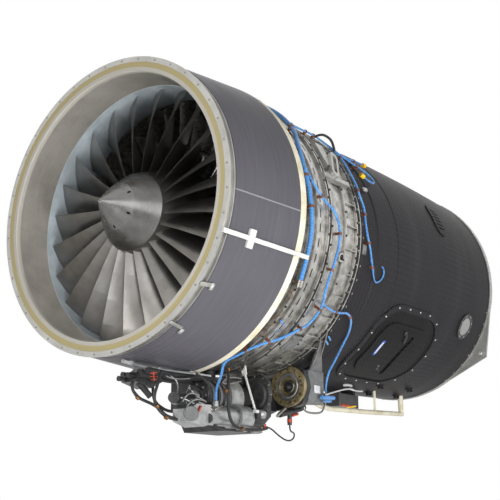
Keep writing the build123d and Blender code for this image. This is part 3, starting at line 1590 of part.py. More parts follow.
# Accessory gearbox under the intermediate case, driven by the tower shaft
tower_neck_top = -(702 + SEAT_GAP)
with BuildPart() as gearbox_housing:
    add(
        yz_block(
            HOUSING_FRONT,
            HOUSING_REAR,
            (-285, -760),
            (-262, -728),
            (200, -728),
            (240, -780),
            (240, -900),
            (180, -985),
            (-225, -985),
            (-285, -930),
        )
    )
    add(yz_block(690, HOUSING_FRONT, (-18, -735), (200, -735), (200, -900), (-18, -900)))
    add(yz_block(SHELF_FRONT, SHELF_REAR, (-150, -966), (150, -966), (130, -1002), (-130, -1002)))
    add(x_cylinder(ADAPTER_REAR, HOUSING_FRONT, GENERATOR_Y, GENERATOR_Z, 80))
    add(x_cylinder(ADAPTER_REAR, HOUSING_FRONT, -215, -935, 50))
    add(
        turned_off_axis(
            BULGE_Y,
            BULGE_Z,
            (HOUSING_FRONT, 0),
            (HOUSING_FRONT, 98),
            (HOUSING_FRONT - 8, 98),
            (HOUSING_FRONT - 16, 88),
            (HOUSING_FRONT - 16, 74),
            (HOUSING_FRONT - 24, 66),
            (HOUSING_FRONT - 24, 0),
        ).part
    )
    add(
        yz_block(
            HOUSING_REAR,
            PLATE_FRONT,
            (-130, -728),
            (180, -728),
            (200, -780),
            (180, -890),
            (-60, -905),
            (-130, -880),
        )
    )
    add(
        yz_block(
            PLATE_FRONT,
            PLATE_REAR,
            (-322, -762),
            (-300, -672),
            (-215, -676),
            (-100, -708),
            (0, -718),
            (150, -708),
            (170, -800),
            (120, -880),
            (-200, -872),
            (-290, -850),
        )
    )
    # Neck for the tower shaft, arm for the link, and a drain stub under the rear plate
    with BuildSketch(Plane.XY.offset(tower_neck_top)):
        with Locations((STRUT_STATION, 0)):
            Circle(42)
    extrude(amount=-40)
    add(yz_block(742, 770, (-308, -925 - SEAT_GAP), (-240, -925 - SEAT_GAP), (-240, -952), (-308, -952)))
    with BuildSketch(Plane.XY.offset(-860)):
        with Locations((1168, -200)):
            Circle(12)
    extrude(amount=-91)
    # Bores for the tower shaft and the starter drive
    with BuildSketch(Plane.XY.offset(TOWER_FOOT - 5)):
        with Locations((STRUT_STATION, 0)):
            Circle(TOWER_RADIUS + RUNNING_GAP)
    extrude(amount=150, mode=Mode.SUBTRACT)
    with BuildSketch(Plane.XY.offset(-728)):
        with Locations((STRUT_STATION, 0)):
            Circle(TOWER_BORE)
    extrude(amount=60, mode=Mode.SUBTRACT)
    shoulder_room = DRIVE_SHOULDER + CLEARANCE
    add(
        [
            x_cylinder(PLATE_FRONT, PLATE_FRONT + 8.3, STARTER_Y, STARTER_Z, shoulder_room),
            x_cylinder(PLATE_FRONT, PLATE_REAR - 3, STARTER_Y, STARTER_Z, STARTER_BORE),
            x_cylinder(HOUSING_REAR, PLATE_FRONT, STARTER_Y, STARTER_Z, STARTER_PAD_RADIUS + 4),
        ],
        mode=Mode.SUBTRACT,
    )
gearbox_housing.part.label = "gearbox_housing"
export_step(gearbox_housing.part, "parts/gearbox_housing.step")

with BuildPart() as starter_pad:
    add(
        turned_off_axis(
            STARTER_Y,
            STARTER_Z,
            (STARTER_FACE, STARTER_PAD_RADIUS),
            (STARTER_FACE + 14, STARTER_PAD_RADIUS),
            (STARTER_FACE + 14, STARTER_PAD_RADIUS - 5),
            (PLATE_FRONT, STARTER_PAD_RADIUS - 5),
            (PLATE_FRONT, STARTER_BORE),
            (STARTER_FACE + 22, STARTER_BORE),
            (STARTER_FACE + 22, 50),
            (STARTER_FACE + PAD_RECESS, 50),
            (STARTER_FACE + PAD_RECESS, 73),
            (STARTER_FACE, 73),
        ).part
    )
    with BuildSketch(Plane.YZ.offset(STARTER_FACE)):
        with Locations((STARTER_Y, STARTER_Z)):
            with PolarLocations(88, STARTER_HOLE_COUNT):
                Circle(STARTER_HOLE_RADIUS)
    extrude(amount=PLATE_FRONT - STARTER_FACE, mode=Mode.SUBTRACT)
starter_pad.part.label = "starter_pad"
export_step(starter_pad.part, "parts/starter_pad.step")

with BuildPart() as starter_drive:
    add(
        turned_off_axis(
            STARTER_Y,
            STARTER_Z,
            (DRIVE_FRONT, SOCKET_RADIUS),
            (DRIVE_FRONT, 30),
            (DRIVE_FRONT + 4, STARTER_BORE - RUNNING_GAP),
            (PLATE_FRONT + CLEARANCE, STARTER_BORE - RUNNING_GAP),
            (PLATE_FRONT + CLEARANCE, DRIVE_SHOULDER),
            (PLATE_FRONT + 8, DRIVE_SHOULDER),
            (PLATE_FRONT + 8, STARTER_BORE - RUNNING_GAP),
            (PLATE_REAR - 4, STARTER_BORE - RUNNING_GAP),
            (PLATE_REAR - 4, 0),
            (DRIVE_FRONT + 30, 0),
            (DRIVE_FRONT + 30, SOCKET_RADIUS),
        ).part
    )
    with BuildSketch(Plane.YZ.offset(DRIVE_FRONT)):
        with Locations((STARTER_Y, STARTER_Z)):
            with PolarLocations(SOCKET_RADIUS, SPLINE_COUNT):
                Rectangle(6, 4)
    extrude(amount=26, mode=Mode.SUBTRACT)
starter_drive.part.label = "starter_drive"
export_step(starter_drive.part, "parts/starter_drive.step")

# Tower shaft: a bevel pinion inside the hub and a long shaft down the hollow strut
with BuildPart() as tower_shaft:
    with BuildSketch(Plane(origin=(STRUT_STATION, 0, 0), x_dir=(1, 0, 0), z_dir=(0, -1, 0))):
        with BuildLine():
            Polyline(
                (0, -GEAR_RADIUS * GEAR_FACE),
                (GEAR_BACK * GEAR_FACE - 0.4, -GEAR_RADIUS * GEAR_FACE),
                (GEAR_BACK - 0.4, -GEAR_RADIUS),
                (TOWER_RADIUS, -GEAR_RADIUS - 4),
                (TOWER_RADIUS, TOWER_FOOT),
                (0, TOWER_FOOT),
                close=True,
            )
        make_face()
    revolve(axis=Axis((STRUT_STATION, 0, 0), (0, 0, 1)))
tower_shaft.part.label = "tower_shaft"
export_step(tower_shaft.part, "parts/tower_shaft.step")

# Units on the gearbox
with BuildPart() as generator:
    add(
        turned_off_axis(
            GENERATOR_Y,
            GENERATOR_Z,
            (490, 0),
            (490, 40),
            (500, 44),
            (500, 68),
            (512, 80),
            (560, 80),
            (560, 75),
            (568, 75),
            (568, 80),
            (ADAPTER_FRONT, 80),
            (ADAPTER_FRONT, 0),
        ).part
    )
    # Filter bowl on a pipe from the generator's nose
    filter_start = Vector(300, -170, -885)
    with BuildSketch(Plane(origin=filter_start, z_dir=(-1, -0.7, 0))):
        Circle(26)
    extrude(amount=70)
    add(tube([(296, -173, -885), (392, -150, -862), (496, -130, -853)], 26))
generator.part.label = "generator"
export_step(generator.part, "parts/generator.step")

with BuildPart() as fuel_control_unit:
    add(x_cylinder(ADAPTER_FRONT, ADAPTER_REAR, GENERATOR_Y, GENERATOR_Z, 104))
    add(x_cylinder(ADAPTER_FRONT, ADAPTER_REAR, PUMP_Y, PUMP_Z, 62))
    add(x_cylinder(400, ADAPTER_FRONT, PUMP_Y, PUMP_Z, 45))
    with BuildSketch(Plane(origin=(0, -300, 0), x_dir=(1, 0, 0), z_dir=(0, 1, 0))):
        with BuildLine():
            Polyline(
                (262, 935),
                (300, 912),
                (400, 912),
                (400, 996),
                (345, 1012),
                (262, 990),
                close=True,
            )
        make_face()
    extrude(amount=110)
    with BuildSketch(Plane(origin=(285, -285, -962), z_dir=(-1, -0.7, 0))):
        Circle(30)
    extrude(amount=66)
    with BuildSketch(Plane.XY.offset(-914)):
        with Locations((506, -240)):
            Circle(13)
    extrude(amount=32 - SEAT_GAP)
fuel_control_unit.part.label = "fuel_control_unit"
export_step(fuel_control_unit.part, "parts/fuel_control_unit.step")

with BuildPart() as gearbox_rear_block:
    add(
        yz_block(
            PLATE_REAR,
            BLOCK_REAR,
            (-305, -672),
            (-230, -684),
            (-130, -704),
            (-130, -830),
            (-290, -842),
            (-305, -830),
        )
    )
    fin_foot = Vector(*skin_point(1104, -128, CASE_FLANGE_RADIUS + 7))
    fin_rear = Vector(1328, -292, -676)
    fin_front = Vector(1215, -292, -676)
    fin_normal = (fin_rear - fin_foot).cross(fin_front - fin_foot)
    fin_plane = Plane(origin=fin_foot, x_dir=fin_rear - fin_foot, z_dir=fin_normal)
    with BuildSketch(fin_plane):
        with BuildLine():
            fin_corner = fin_plane.to_local_coords(fin_front)
            Polyline(
                (0, 10),
                (0, -8),
                ((fin_rear - fin_foot).length, -8),
                (fin_corner.X, fin_corner.Y),
                close=True,
            )
        make_face()
    extrude(amount=4, both=True)
    with BuildSketch(skin_plane(1104, -128, CASE_FLANGE_RADIUS + SEAT_GAP)):
        Rectangle(14, 44)
    extrude(amount=8)
    # Socket for the branch of the control harness
    with BuildSketch(Plane.XY.offset(-822)):
        with Locations((1356, -306)):
            Circle(14)
    extrude(amount=44 - SEAT_GAP)
    add(x_cylinder(1325, 1392, -297, -808, 13))
gearbox_rear_block.part.label = "gearbox_rear_block"
export_step(gearbox_rear_block.part, "parts/gearbox_rear_block.step")

# Link that steadies the gearbox from the intermediate case
link_top = Vector(795, -191, -724.5)
link_foot = Vector(756, -289, -925)
with BuildPart() as gearbox_link:
    with BuildSketch(Plane(origin=link_top, z_dir=link_foot - link_top)):
        Circle(6)
    extrude(amount=(link_foot - link_top).length - 4)
    with BuildSketch(skin_plane(795, -104.7, case_radius(795) + SEAT_GAP)):
        Rectangle(12, 30)
    extrude(amount=54, taper=3)
    with BuildSketch(Plane.XY.offset(-925)):
        with Locations((756, -289)):
            Rectangle(22, 20)
    extrude(amount=16)
gearbox_link.part.label = "gearbox_link"
export_step(gearbox_link.part, "parts/gearbox_link.step")

with BuildPart() as junction_unit:
    with BuildSketch(Plane(origin=(0, -5, 0), x_dir=(1, 0, 0), z_dir=(0, -1, 0))):
        with BuildLine():
            Polyline(
                (JUNCTION_FRONT, -772 - SEAT_GAP),
                (JUNCTION_REAR, -772 - SEAT_GAP),
                (JUNCTION_REAR, -800),
                (220, -838),
                (JUNCTION_FRONT, -816),
                close=True,
            )
        make_face()
    extrude(amount=90)
    for connector_y, connector_z in ((-78, -790), (-45, -786), (-22, -802)):
        add(x_cylinder(80, JUNCTION_FRONT, connector_y, connector_z, 12))
junction_unit.part.label = "junction_unit"
export_step(junction_unit.part, "parts/junction_unit.step")

hose_routes = (
    [
        (140, -50, -812),
        (140, -52, -850),
        (172, -66, -886),
        (228, -118, -917),
        (236, -176, -966),
        (264, -206, -978),
    ],
    [
        (250, -75, -815),
        (250, -82, -895),
        (276, -140, -940),
        (304, -198, -945),
    ],
)
with BuildPart() as front_hoses:
    for hose_route in hose_routes:
        add(tube(hose_route, HOSE_DIAMETER))
    add([junction_unit.part, fuel_control_unit.part], mode=Mode.SUBTRACT)
front_hoses.part.label = "front_hoses"
export_step(front_hoses.part, "parts/front_hoses.step")

# Box under the duct, and the drain tube that runs aft beside it
duct_core = duct_layer(-300, SEAT_GAP)
with BuildPart() as ignition_box:
    with BuildSketch(Plane.XY.offset(BOX_TOP)):
        with Locations(((BOX_FRONT + BOX_REAR) / 2, 0)):
            RectangleRounded(BOX_REAR - BOX_FRONT, 120, 10)
    extrude(amount=-74)
    with BuildSketch(Plane.XY.offset(BOX_TOP)):
        with Locations((BOX_FRONT + 30, 0), (BOX_REAR - 30, 0)):
            Rectangle(24, 90)
    extrude(amount=34)
    add(duct_core, mode=Mode.SUBTRACT)
ignition_box.part.label = "ignition_box"
export_step(ignition_box.part, "parts/ignition_box.step")

drain_route = [
    (BLOCK_REAR - 6, -252, -825.5),
    (1440, -216, -834),
    (1640, -150, -830),
    (2050, -135, -818),
    (2590, -90, -792),
]
with BuildPart() as drain_tube:
    add(tube(drain_route, DRAIN_DIAMETER))
    add(gearbox_rear_block.part, mode=Mode.SUBTRACT)
    with BuildSketch(Plane.XY.offset(-800)):
        with Locations((2572, -92)):
            Circle(17)
    extrude(amount=150)
    with BuildSketch(Plane.XY.offset(-815)):
        with Locations((2180, -128)):
            Rectangle(18, 6)
    extrude(amount=150)
    add(duct_core, mode=Mode.SUBTRACT)
drain_tube.part.label = "drain_tube"
export_step(drain_tube.part, "parts/drain_tube.step")

# A short electrical lead that hangs in a loop under the gearbox
lead_route = [
    (HOUSING_REAR + SEAT_GAP, -200, -968),
    (984, -200, -968),
    (1070, -200, -1012),
    (1150, -200, -1036),
    (1204, -200, -1020),
    (1212, -200, -988),
    (1168, -200, -984),
    (1168, -200, -951 - SEAT_GAP),
]
gearbox_lead = tube(lead_route, LEAD_LOOP_DIAMETER)
gearbox_lead.label = "gearbox_lead"
export_step(gearbox_lead, "parts/gearbox_lead.step")
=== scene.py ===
"""Finishes, fasteners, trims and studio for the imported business-jet turbofan."""
import json
import math

import bmesh
import bpy
from bpy.props import FloatProperty, FloatVectorProperty, IntProperty, PointerProperty
from mathutils import Matrix, Vector


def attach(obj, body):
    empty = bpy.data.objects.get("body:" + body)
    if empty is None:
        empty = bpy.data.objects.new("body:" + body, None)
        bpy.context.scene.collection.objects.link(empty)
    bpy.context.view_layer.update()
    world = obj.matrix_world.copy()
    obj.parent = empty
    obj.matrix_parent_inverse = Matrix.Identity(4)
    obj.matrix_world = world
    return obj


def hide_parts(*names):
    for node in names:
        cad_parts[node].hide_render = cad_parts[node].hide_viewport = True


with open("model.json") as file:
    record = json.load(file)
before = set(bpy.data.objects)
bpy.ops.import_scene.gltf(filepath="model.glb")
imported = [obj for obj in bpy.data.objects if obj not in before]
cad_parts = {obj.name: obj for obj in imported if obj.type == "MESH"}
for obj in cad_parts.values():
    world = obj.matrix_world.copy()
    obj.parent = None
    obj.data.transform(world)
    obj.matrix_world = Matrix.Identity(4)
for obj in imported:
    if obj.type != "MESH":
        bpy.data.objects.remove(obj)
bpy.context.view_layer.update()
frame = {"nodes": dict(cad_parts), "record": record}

bl_info = {
    "name": "Turbofan dressing",
    "version": (1, 0, 0),
    "blender": (4, 5, 0),
    "location": "3D View > Sidebar > Turbofan",
    "description": "Finishes, fasteners, trims and studio for a bare business-jet turbofan",
    "category": "Object",
}

STATIC = "engine_static"
DUCT_RADIUS = 0.694
SHELL_RADIUS = 0.726
PORT = (2.435, -154, 0.6955)
FORWARD = (-1, 0, 0)
UP = (0, 0, 1)


def linear(code):
    """Turn an sRGB hex code into Blender's linear colour."""
    channels = [int(code[place:place + 2], 16) / 255 for place in (1, 3, 5)]
    return [c / 12.92 if c <= 0.04045 else ((c + 0.055) / 1.055) ** 2.4 for c in channels] + [1.0]


# ---------------------------------------------------------------- sizes and colours a user may change


def length_choice(name, description, value, low, high):
    """A length in metres that the user may change, with its first value and its range."""
    return FloatProperty(name=name, description=description, default=value, min=low, max=high, unit="LENGTH")


class TurbofanSizes(bpy.types.PropertyGroup):
    """Sizes and counts of the fasteners and the free leads."""

    bolt_radius: length_choice("Bolt radius", "Washer radius of a flange bolt", 0.0085, 0.003, 0.02)
    bolt_height: length_choice("Bolt height", "Height of a flange bolt's head", 0.011, 0.003, 0.03)
    screw_radius: length_choice("Screw radius", "Radius of a panel screw's head", 0.0065, 0.002, 0.02)
    flange_bolts: IntProperty(
        name="Flange bolts", description="Bolts round each flange of the intermediate case",
        default=60, min=12, max=120)
    rear_rivets: IntProperty(
        name="Rear rivets", description="Rivets round the duct's rear edge", default=58, min=12, max=120)
    tail_diameter: length_choice(
        "Harness tail diameter", "Diameter of the free end of the sensor harness", 0.008, 0.004, 0.02)
    lead_diameter: length_choice(
        "Lead diameter", "Diameter of the lead that loops under the gearbox", 0.008, 0.004, 0.02)


def colour_choice(name, description, code):
    """A colour that the user may pick, with its first value."""
    return FloatVectorProperty(
        name=name, description=description, subtype="COLOR", size=4, min=0, max=1, default=linear(code))


class TurbofanColours(bpy.types.PropertyGroup):
    """Colours of the finishes that differ from engine to engine."""

    shell: colour_choice("Fan case skin", "Colour of the composite skin round the fan case", "#4f4e53")
    duct: colour_choice("Duct tows", "Colour of the carbon tows of the bypass duct", "#363538")
    primer: colour_choice("Primer", "Colour of the cream epoxy primer", "#d8d1bb")
    sleeve: colour_choice("Harness sleeve", "Colour of the harnesses' woven sleeves", "#4c8bc9")
    backdrop: colour_choice("Floor", "Colour of the studio floor", "#e6e6e4")


# ---------------------------------------------------------------- materials


def fill(tree, node, inputs):
    """Set a node's inputs, each by a value or a link."""
    for key, value in inputs.items():
        if isinstance(value, bpy.types.NodeSocket):
            tree.links.new(value, node.inputs[key])
        else:
            node.inputs[key].default_value = value


def add_node(tree, kind, inputs=None, ramp=None, **settings):
    """Add a node with its settings, its inputs and its colour stops."""
    node = tree.nodes.new(kind)
    for name, value in settings.items():
        setattr(node, name, value)
    fill(tree, node, inputs or {})
    if ramp:
        stops = node.color_ramp.elements
        stops.remove(stops[1])
        stops[0].position, stops[0].color = ramp[0]
        for place, colour in ramp[1:]:
            stops.new(place).color = colour
    return node


def calc(tree, operation, *values):
    """One step of arithmetic on sockets and numbers."""
    return add_node(tree, "ShaderNodeMath", dict(enumerate(values)), operation=operation).outputs[0]


def mix(tree, share, first, second, **settings):
    """Blend two colours by a share."""
    return add_node(
        tree, "ShaderNodeMix", {0: share, 6: first, 7: second}, data_type="RGBA", **settings).outputs[2]


def spread(tree, value, low, high, out_low=0.0, out_high=1.0):
    """Stretch a range of values to another range."""
    return add_node(
        tree, "ShaderNodeMapRange",
        {"Value": value, "From Min": low, "From Max": high, "To Min": out_low, "To Max": out_high}).outputs[0]


def noise(tree, place, scale, detail=2.0, roughness=0.5):
    """Soft noise, so many grains a metre."""
    return add_node(
        tree, "ShaderNodeTexNoise",
        {"Vector": place, "Scale": scale, "Detail": detail, "Roughness": roughness}).outputs["Fac"]


def waves(tree, place, pitch, way, **inputs):
    """Bands across x or y, pitch of them a metre."""
    return add_node(
        tree, "ShaderNodeTexWave", {"Vector": place, "Scale": pitch / 6.2832 * 2, **inputs},
        bands_direction=way).outputs["Fac"]


def mapped(tree, place, **inputs):
    """Turn or scale a place."""
    return add_node(tree, "ShaderNodeMapping", {"Vector": place, **inputs}).outputs[0]


def split(tree, place):
    """The x, y and z of a place."""
    return add_node(tree, "ShaderNodeSeparateXYZ", {"Vector": place}).outputs


def bump(tree, height, distance, strength):
    """A relief so many metres deep."""
    return add_node(
        tree, "ShaderNodeBump", {"Height": height, "Distance": distance, "Strength": strength}).outputs[0]


def new_material(name):
    """A material with its tree, its shader and the piece's own place as a start."""
    material = bpy.data.materials.new(name)
    material.use_nodes = True
    tree = material.node_tree
    place = add_node(tree, "ShaderNodeTexCoord").outputs["Object"]
    return material, tree, tree.nodes["Principled BSDF"], place


def around_axis(tree, place, radius):
    """Unroll the engine's round skin: x runs aft, y round the skin from the far side, z outwards."""
    x, y, z = split(tree, place)
    turn = calc(tree, "ARCTAN2", z, calc(tree, "MULTIPLY", y, -1.0))
    square = calc(tree, "MULTIPLY_ADD", z, z, calc(tree, "MULTIPLY", y, y))
    return add_node(
        tree, "ShaderNodeCombineXYZ",
        {"X": x, "Y": calc(tree, "MULTIPLY", turn, radius), "Z": calc(tree, "SQRT", square)}).outputs[0]


def finish(name, shades, gloss, cloud, grain, relief, metallic=0.0, stretch=(1, 1, 1), wrapped=0.0,
           painted_corner_shade=None, coat=0.0, anisotropic=0.0, sheen=0.0, fleck=0.8):
    """A surface whose colour drifts in clouds, with a finer grain in its gloss and its relief.

    cloud, grain and relief are millimetres. wrapped is the radius of the skin that the grain runs
    round, stretch the grain's scale along it. The dark corner colour, with its reach in millimetres,
    is painted shade, mixed in where the AO node finds corners, and fleck is the grain's share in the colour.
    """
    material, tree, shader, place = new_material(name)
    if wrapped:
        place = around_axis(tree, place, wrapped)
    tones = [linear(shade) if isinstance(shade, str) else shade for shade in shades]
    clouds = noise(tree, place, 1000 / cloud, 5.0, 0.62)
    colour = add_node(
        tree, "ShaderNodeValToRGB", {"Fac": clouds}, ramp=list(zip((0.32, 0.5, 0.68), tones))).outputs[0]
    fine = noise(tree, mapped(tree, place, Scale=stretch), 1000 / grain, 3.0, 0.55)
    colour = mix(tree, fleck, colour, spread(tree, fine, 0.3, 0.7, 0.86), blend_type="MULTIPLY")
    # Painted shade: the dark corner colour is mixed in where the AO node finds corners and recesses
    if painted_corner_shade:
        corner = add_node(
            tree, "ShaderNodeAmbientOcclusion", {"Distance": painted_corner_shade[1] / 1000}, samples=4).outputs["AO"]
        colour = mix(tree, spread(tree, corner, 0.15, 0.75, 0.85, 0.0), colour, linear(painted_corner_shade[0]))
    fill(tree, shader, {
        "Base Color": colour, "Roughness": spread(tree, fine, 0.3, 0.7, *gloss),
        "Normal": bump(tree, fine, relief / 1000, 0.7), "Metallic": metallic, "Coat Weight": coat,
        "Coat Roughness": 0.12, "Anisotropic": anisotropic, "Sheen Weight": sheen})
    return material


def inlet_lip(material):
    """Turn the primer khaki on the ring in the inlet, and rub it down to the bare lip inside."""
    tree = material.node_tree
    base = tree.nodes["Principled BSDF"].inputs["Base Color"]
    colour = base.links[0].from_socket
    place = add_node(tree, "ShaderNodeTexCoord").outputs["Object"]
    along, around, reach = split(tree, around_axis(tree, place, 0.7))
    front = calc(tree, "LESS_THAN", along, 0.1)
    bare = calc(tree, "MULTIPLY", front, spread(tree, reach, 0.659, 0.661, 1.0, 0.0))
    for share, shade in ((front, "#aa9d72"), (bare, "#b5b1a8")):
        colour = mix(tree, share, colour, linear(shade))
    tree.links.new(colour, base)
    return material


def woven_carbon(name, tow_and_highlight, pale_tow, gap, top_sheen_tone, tow_mm, coat):
    """Carbon tows laid over and under each other in clear resin.

    The tows are drawn 12 or 14 mm wide, about two real ones, because a real one is finer than a pixel.
    """
    material, tree, shader, place = new_material(name)
    sheet = around_axis(tree, place, DUCT_RADIUS)
    turned = mapped(tree, sheet, Rotation=(0, 0, math.radians(45)))
    pitch = 1000 / tow_mm
    over, under = (waves(tree, turned, pitch, way, Distortion=0.6, Detail=1.0, **{"Detail Scale": 2.0})
                   for way in "XY")
    cell = add_node(
        tree, "ShaderNodeTexChecker",
        {"Vector": mapped(tree, turned, Scale=(1, 1, 0)), "Scale": pitch / 2}).outputs["Fac"]
    height = add_node(tree, "ShaderNodeMix", {0: cell, 2: over, 3: under}).outputs[0]
    # Partly painted highlight: the tows are drawn lighter than their own colour, for the light they catch,
    # and the gaps stay dark
    tone = mix(tree, height, linear(gap), tow_and_highlight)
    # Whole plies end in bands round the duct, so the weave's tone changes every few hand-breadths
    plies = noise(tree, mapped(tree, sheet, Scale=(1, 0.12, 0)), 5.0)
    tone = mix(tree, spread(tree, plies, 0.5, 0.75, 0.0, 0.35), tone, linear(pale_tow))
    # Painted sheen: the top is mixed towards a bronze tone by height, standing in for the light it catches
    sheen_by_height = split(tree, place)["Z"]
    tone = mix(tree, spread(tree, sheen_by_height, 0.3, 0.7, 0.0, 0.6), tone, linear(top_sheen_tone))
    fill(tree, shader, {
        "Base Color": tone, "Roughness": spread(tree, height, 0.0, 1.0, 0.46, 0.3),
        "Normal": bump(tree, height, 0.0004, 0.5), "Specular IOR Level": 0.03, "Coat Weight": coat,
        "Coat Roughness": 0.18})
    return material


def glossy_skin(name, colour):
    """Painted composite skin, polished: faint rubbing marks round it and one pale joint along it."""
    material, tree, shader, place = new_material(name)
    sheet = around_axis(tree, place, SHELL_RADIUS)
    marks = noise(tree, mapped(tree, sheet, Scale=(1, 0.05, 0)), 60.0, 4.0, 0.6)
    base = mix(tree, noise(tree, sheet, 3.0, 3.0), colour, [c * 1.3 for c in colour[:3]] + [1])
    base = mix(tree, spread(tree, marks, 0.56, 0.82, 0.0, 0.16), base, linear("#8c8b8e"))
    joint = calc(tree, "COMPARE", split(tree, sheet)["Y"], math.radians(-4.0) * SHELL_RADIUS, 0.003)
    base = mix(tree, joint, base, linear("#85848a"))
    fill(tree, shader, {
        "Base Color": base, "Roughness": spread(tree, marks, 0.3, 0.7, 0.2, 0.4),
        "Normal": bump(tree, marks, 0.0003, 0.4), "Specular IOR Level": 0.03, "Coat Weight": 0.03,
        "Coat Roughness": 0.1})
    return material


def braided(name, colour, dark, pitch_mm):
    """A plaited sleeve: fine diagonal strands cross and leave small dark gaps."""
    material, tree, shader, place = new_material(name)
    strands = [
        waves(tree, mapped(tree, place, Rotation=(math.radians(turn), 0.6, math.radians(turn))),
              1000 / pitch_mm / 2, "X", Distortion=0.4)
        for turn in (38, -38)]
    weave = calc(tree, "MULTIPLY", *strands)
    tone = mix(tree, spread(tree, weave, 0.0, 0.35, 0.35), linear(dark), colour)
    drift = noise(tree, place, 14.0)
    tone = mix(tree, spread(tree, drift, 0.5, 0.75, 0.0, 0.3), tone, linear("#86b2dd"))
    fill(tree, shader, {
        "Base Color": tone, "Normal": bump(tree, weave, 0.0008, 0.6), "Roughness": 0.6,
        "Sheen Weight": 0.25})
    return material


def wire_gauze(name):
    """Woven stainless gauze over the port, drawn at a 6 mm mesh so that it still shows."""
    material, tree, shader, place = new_material(name)
    sheet = around_axis(tree, place, 0.69)
    height = calc(tree, "MAXIMUM", *(waves(tree, sheet, 1000 / 6, way) for way in "XY"))
    tone = add_node(
        tree, "ShaderNodeValToRGB", {"Fac": height},
        ramp=[(0.35, linear("#5e5f60")), (0.75, linear("#b9bab8"))]).outputs[0]
    fill(tree, shader, {
        "Base Color": tone, "Normal": bump(tree, height, 0.0008, 0.8), "Metallic": 0.6,
        "Roughness": 0.45})
    return material


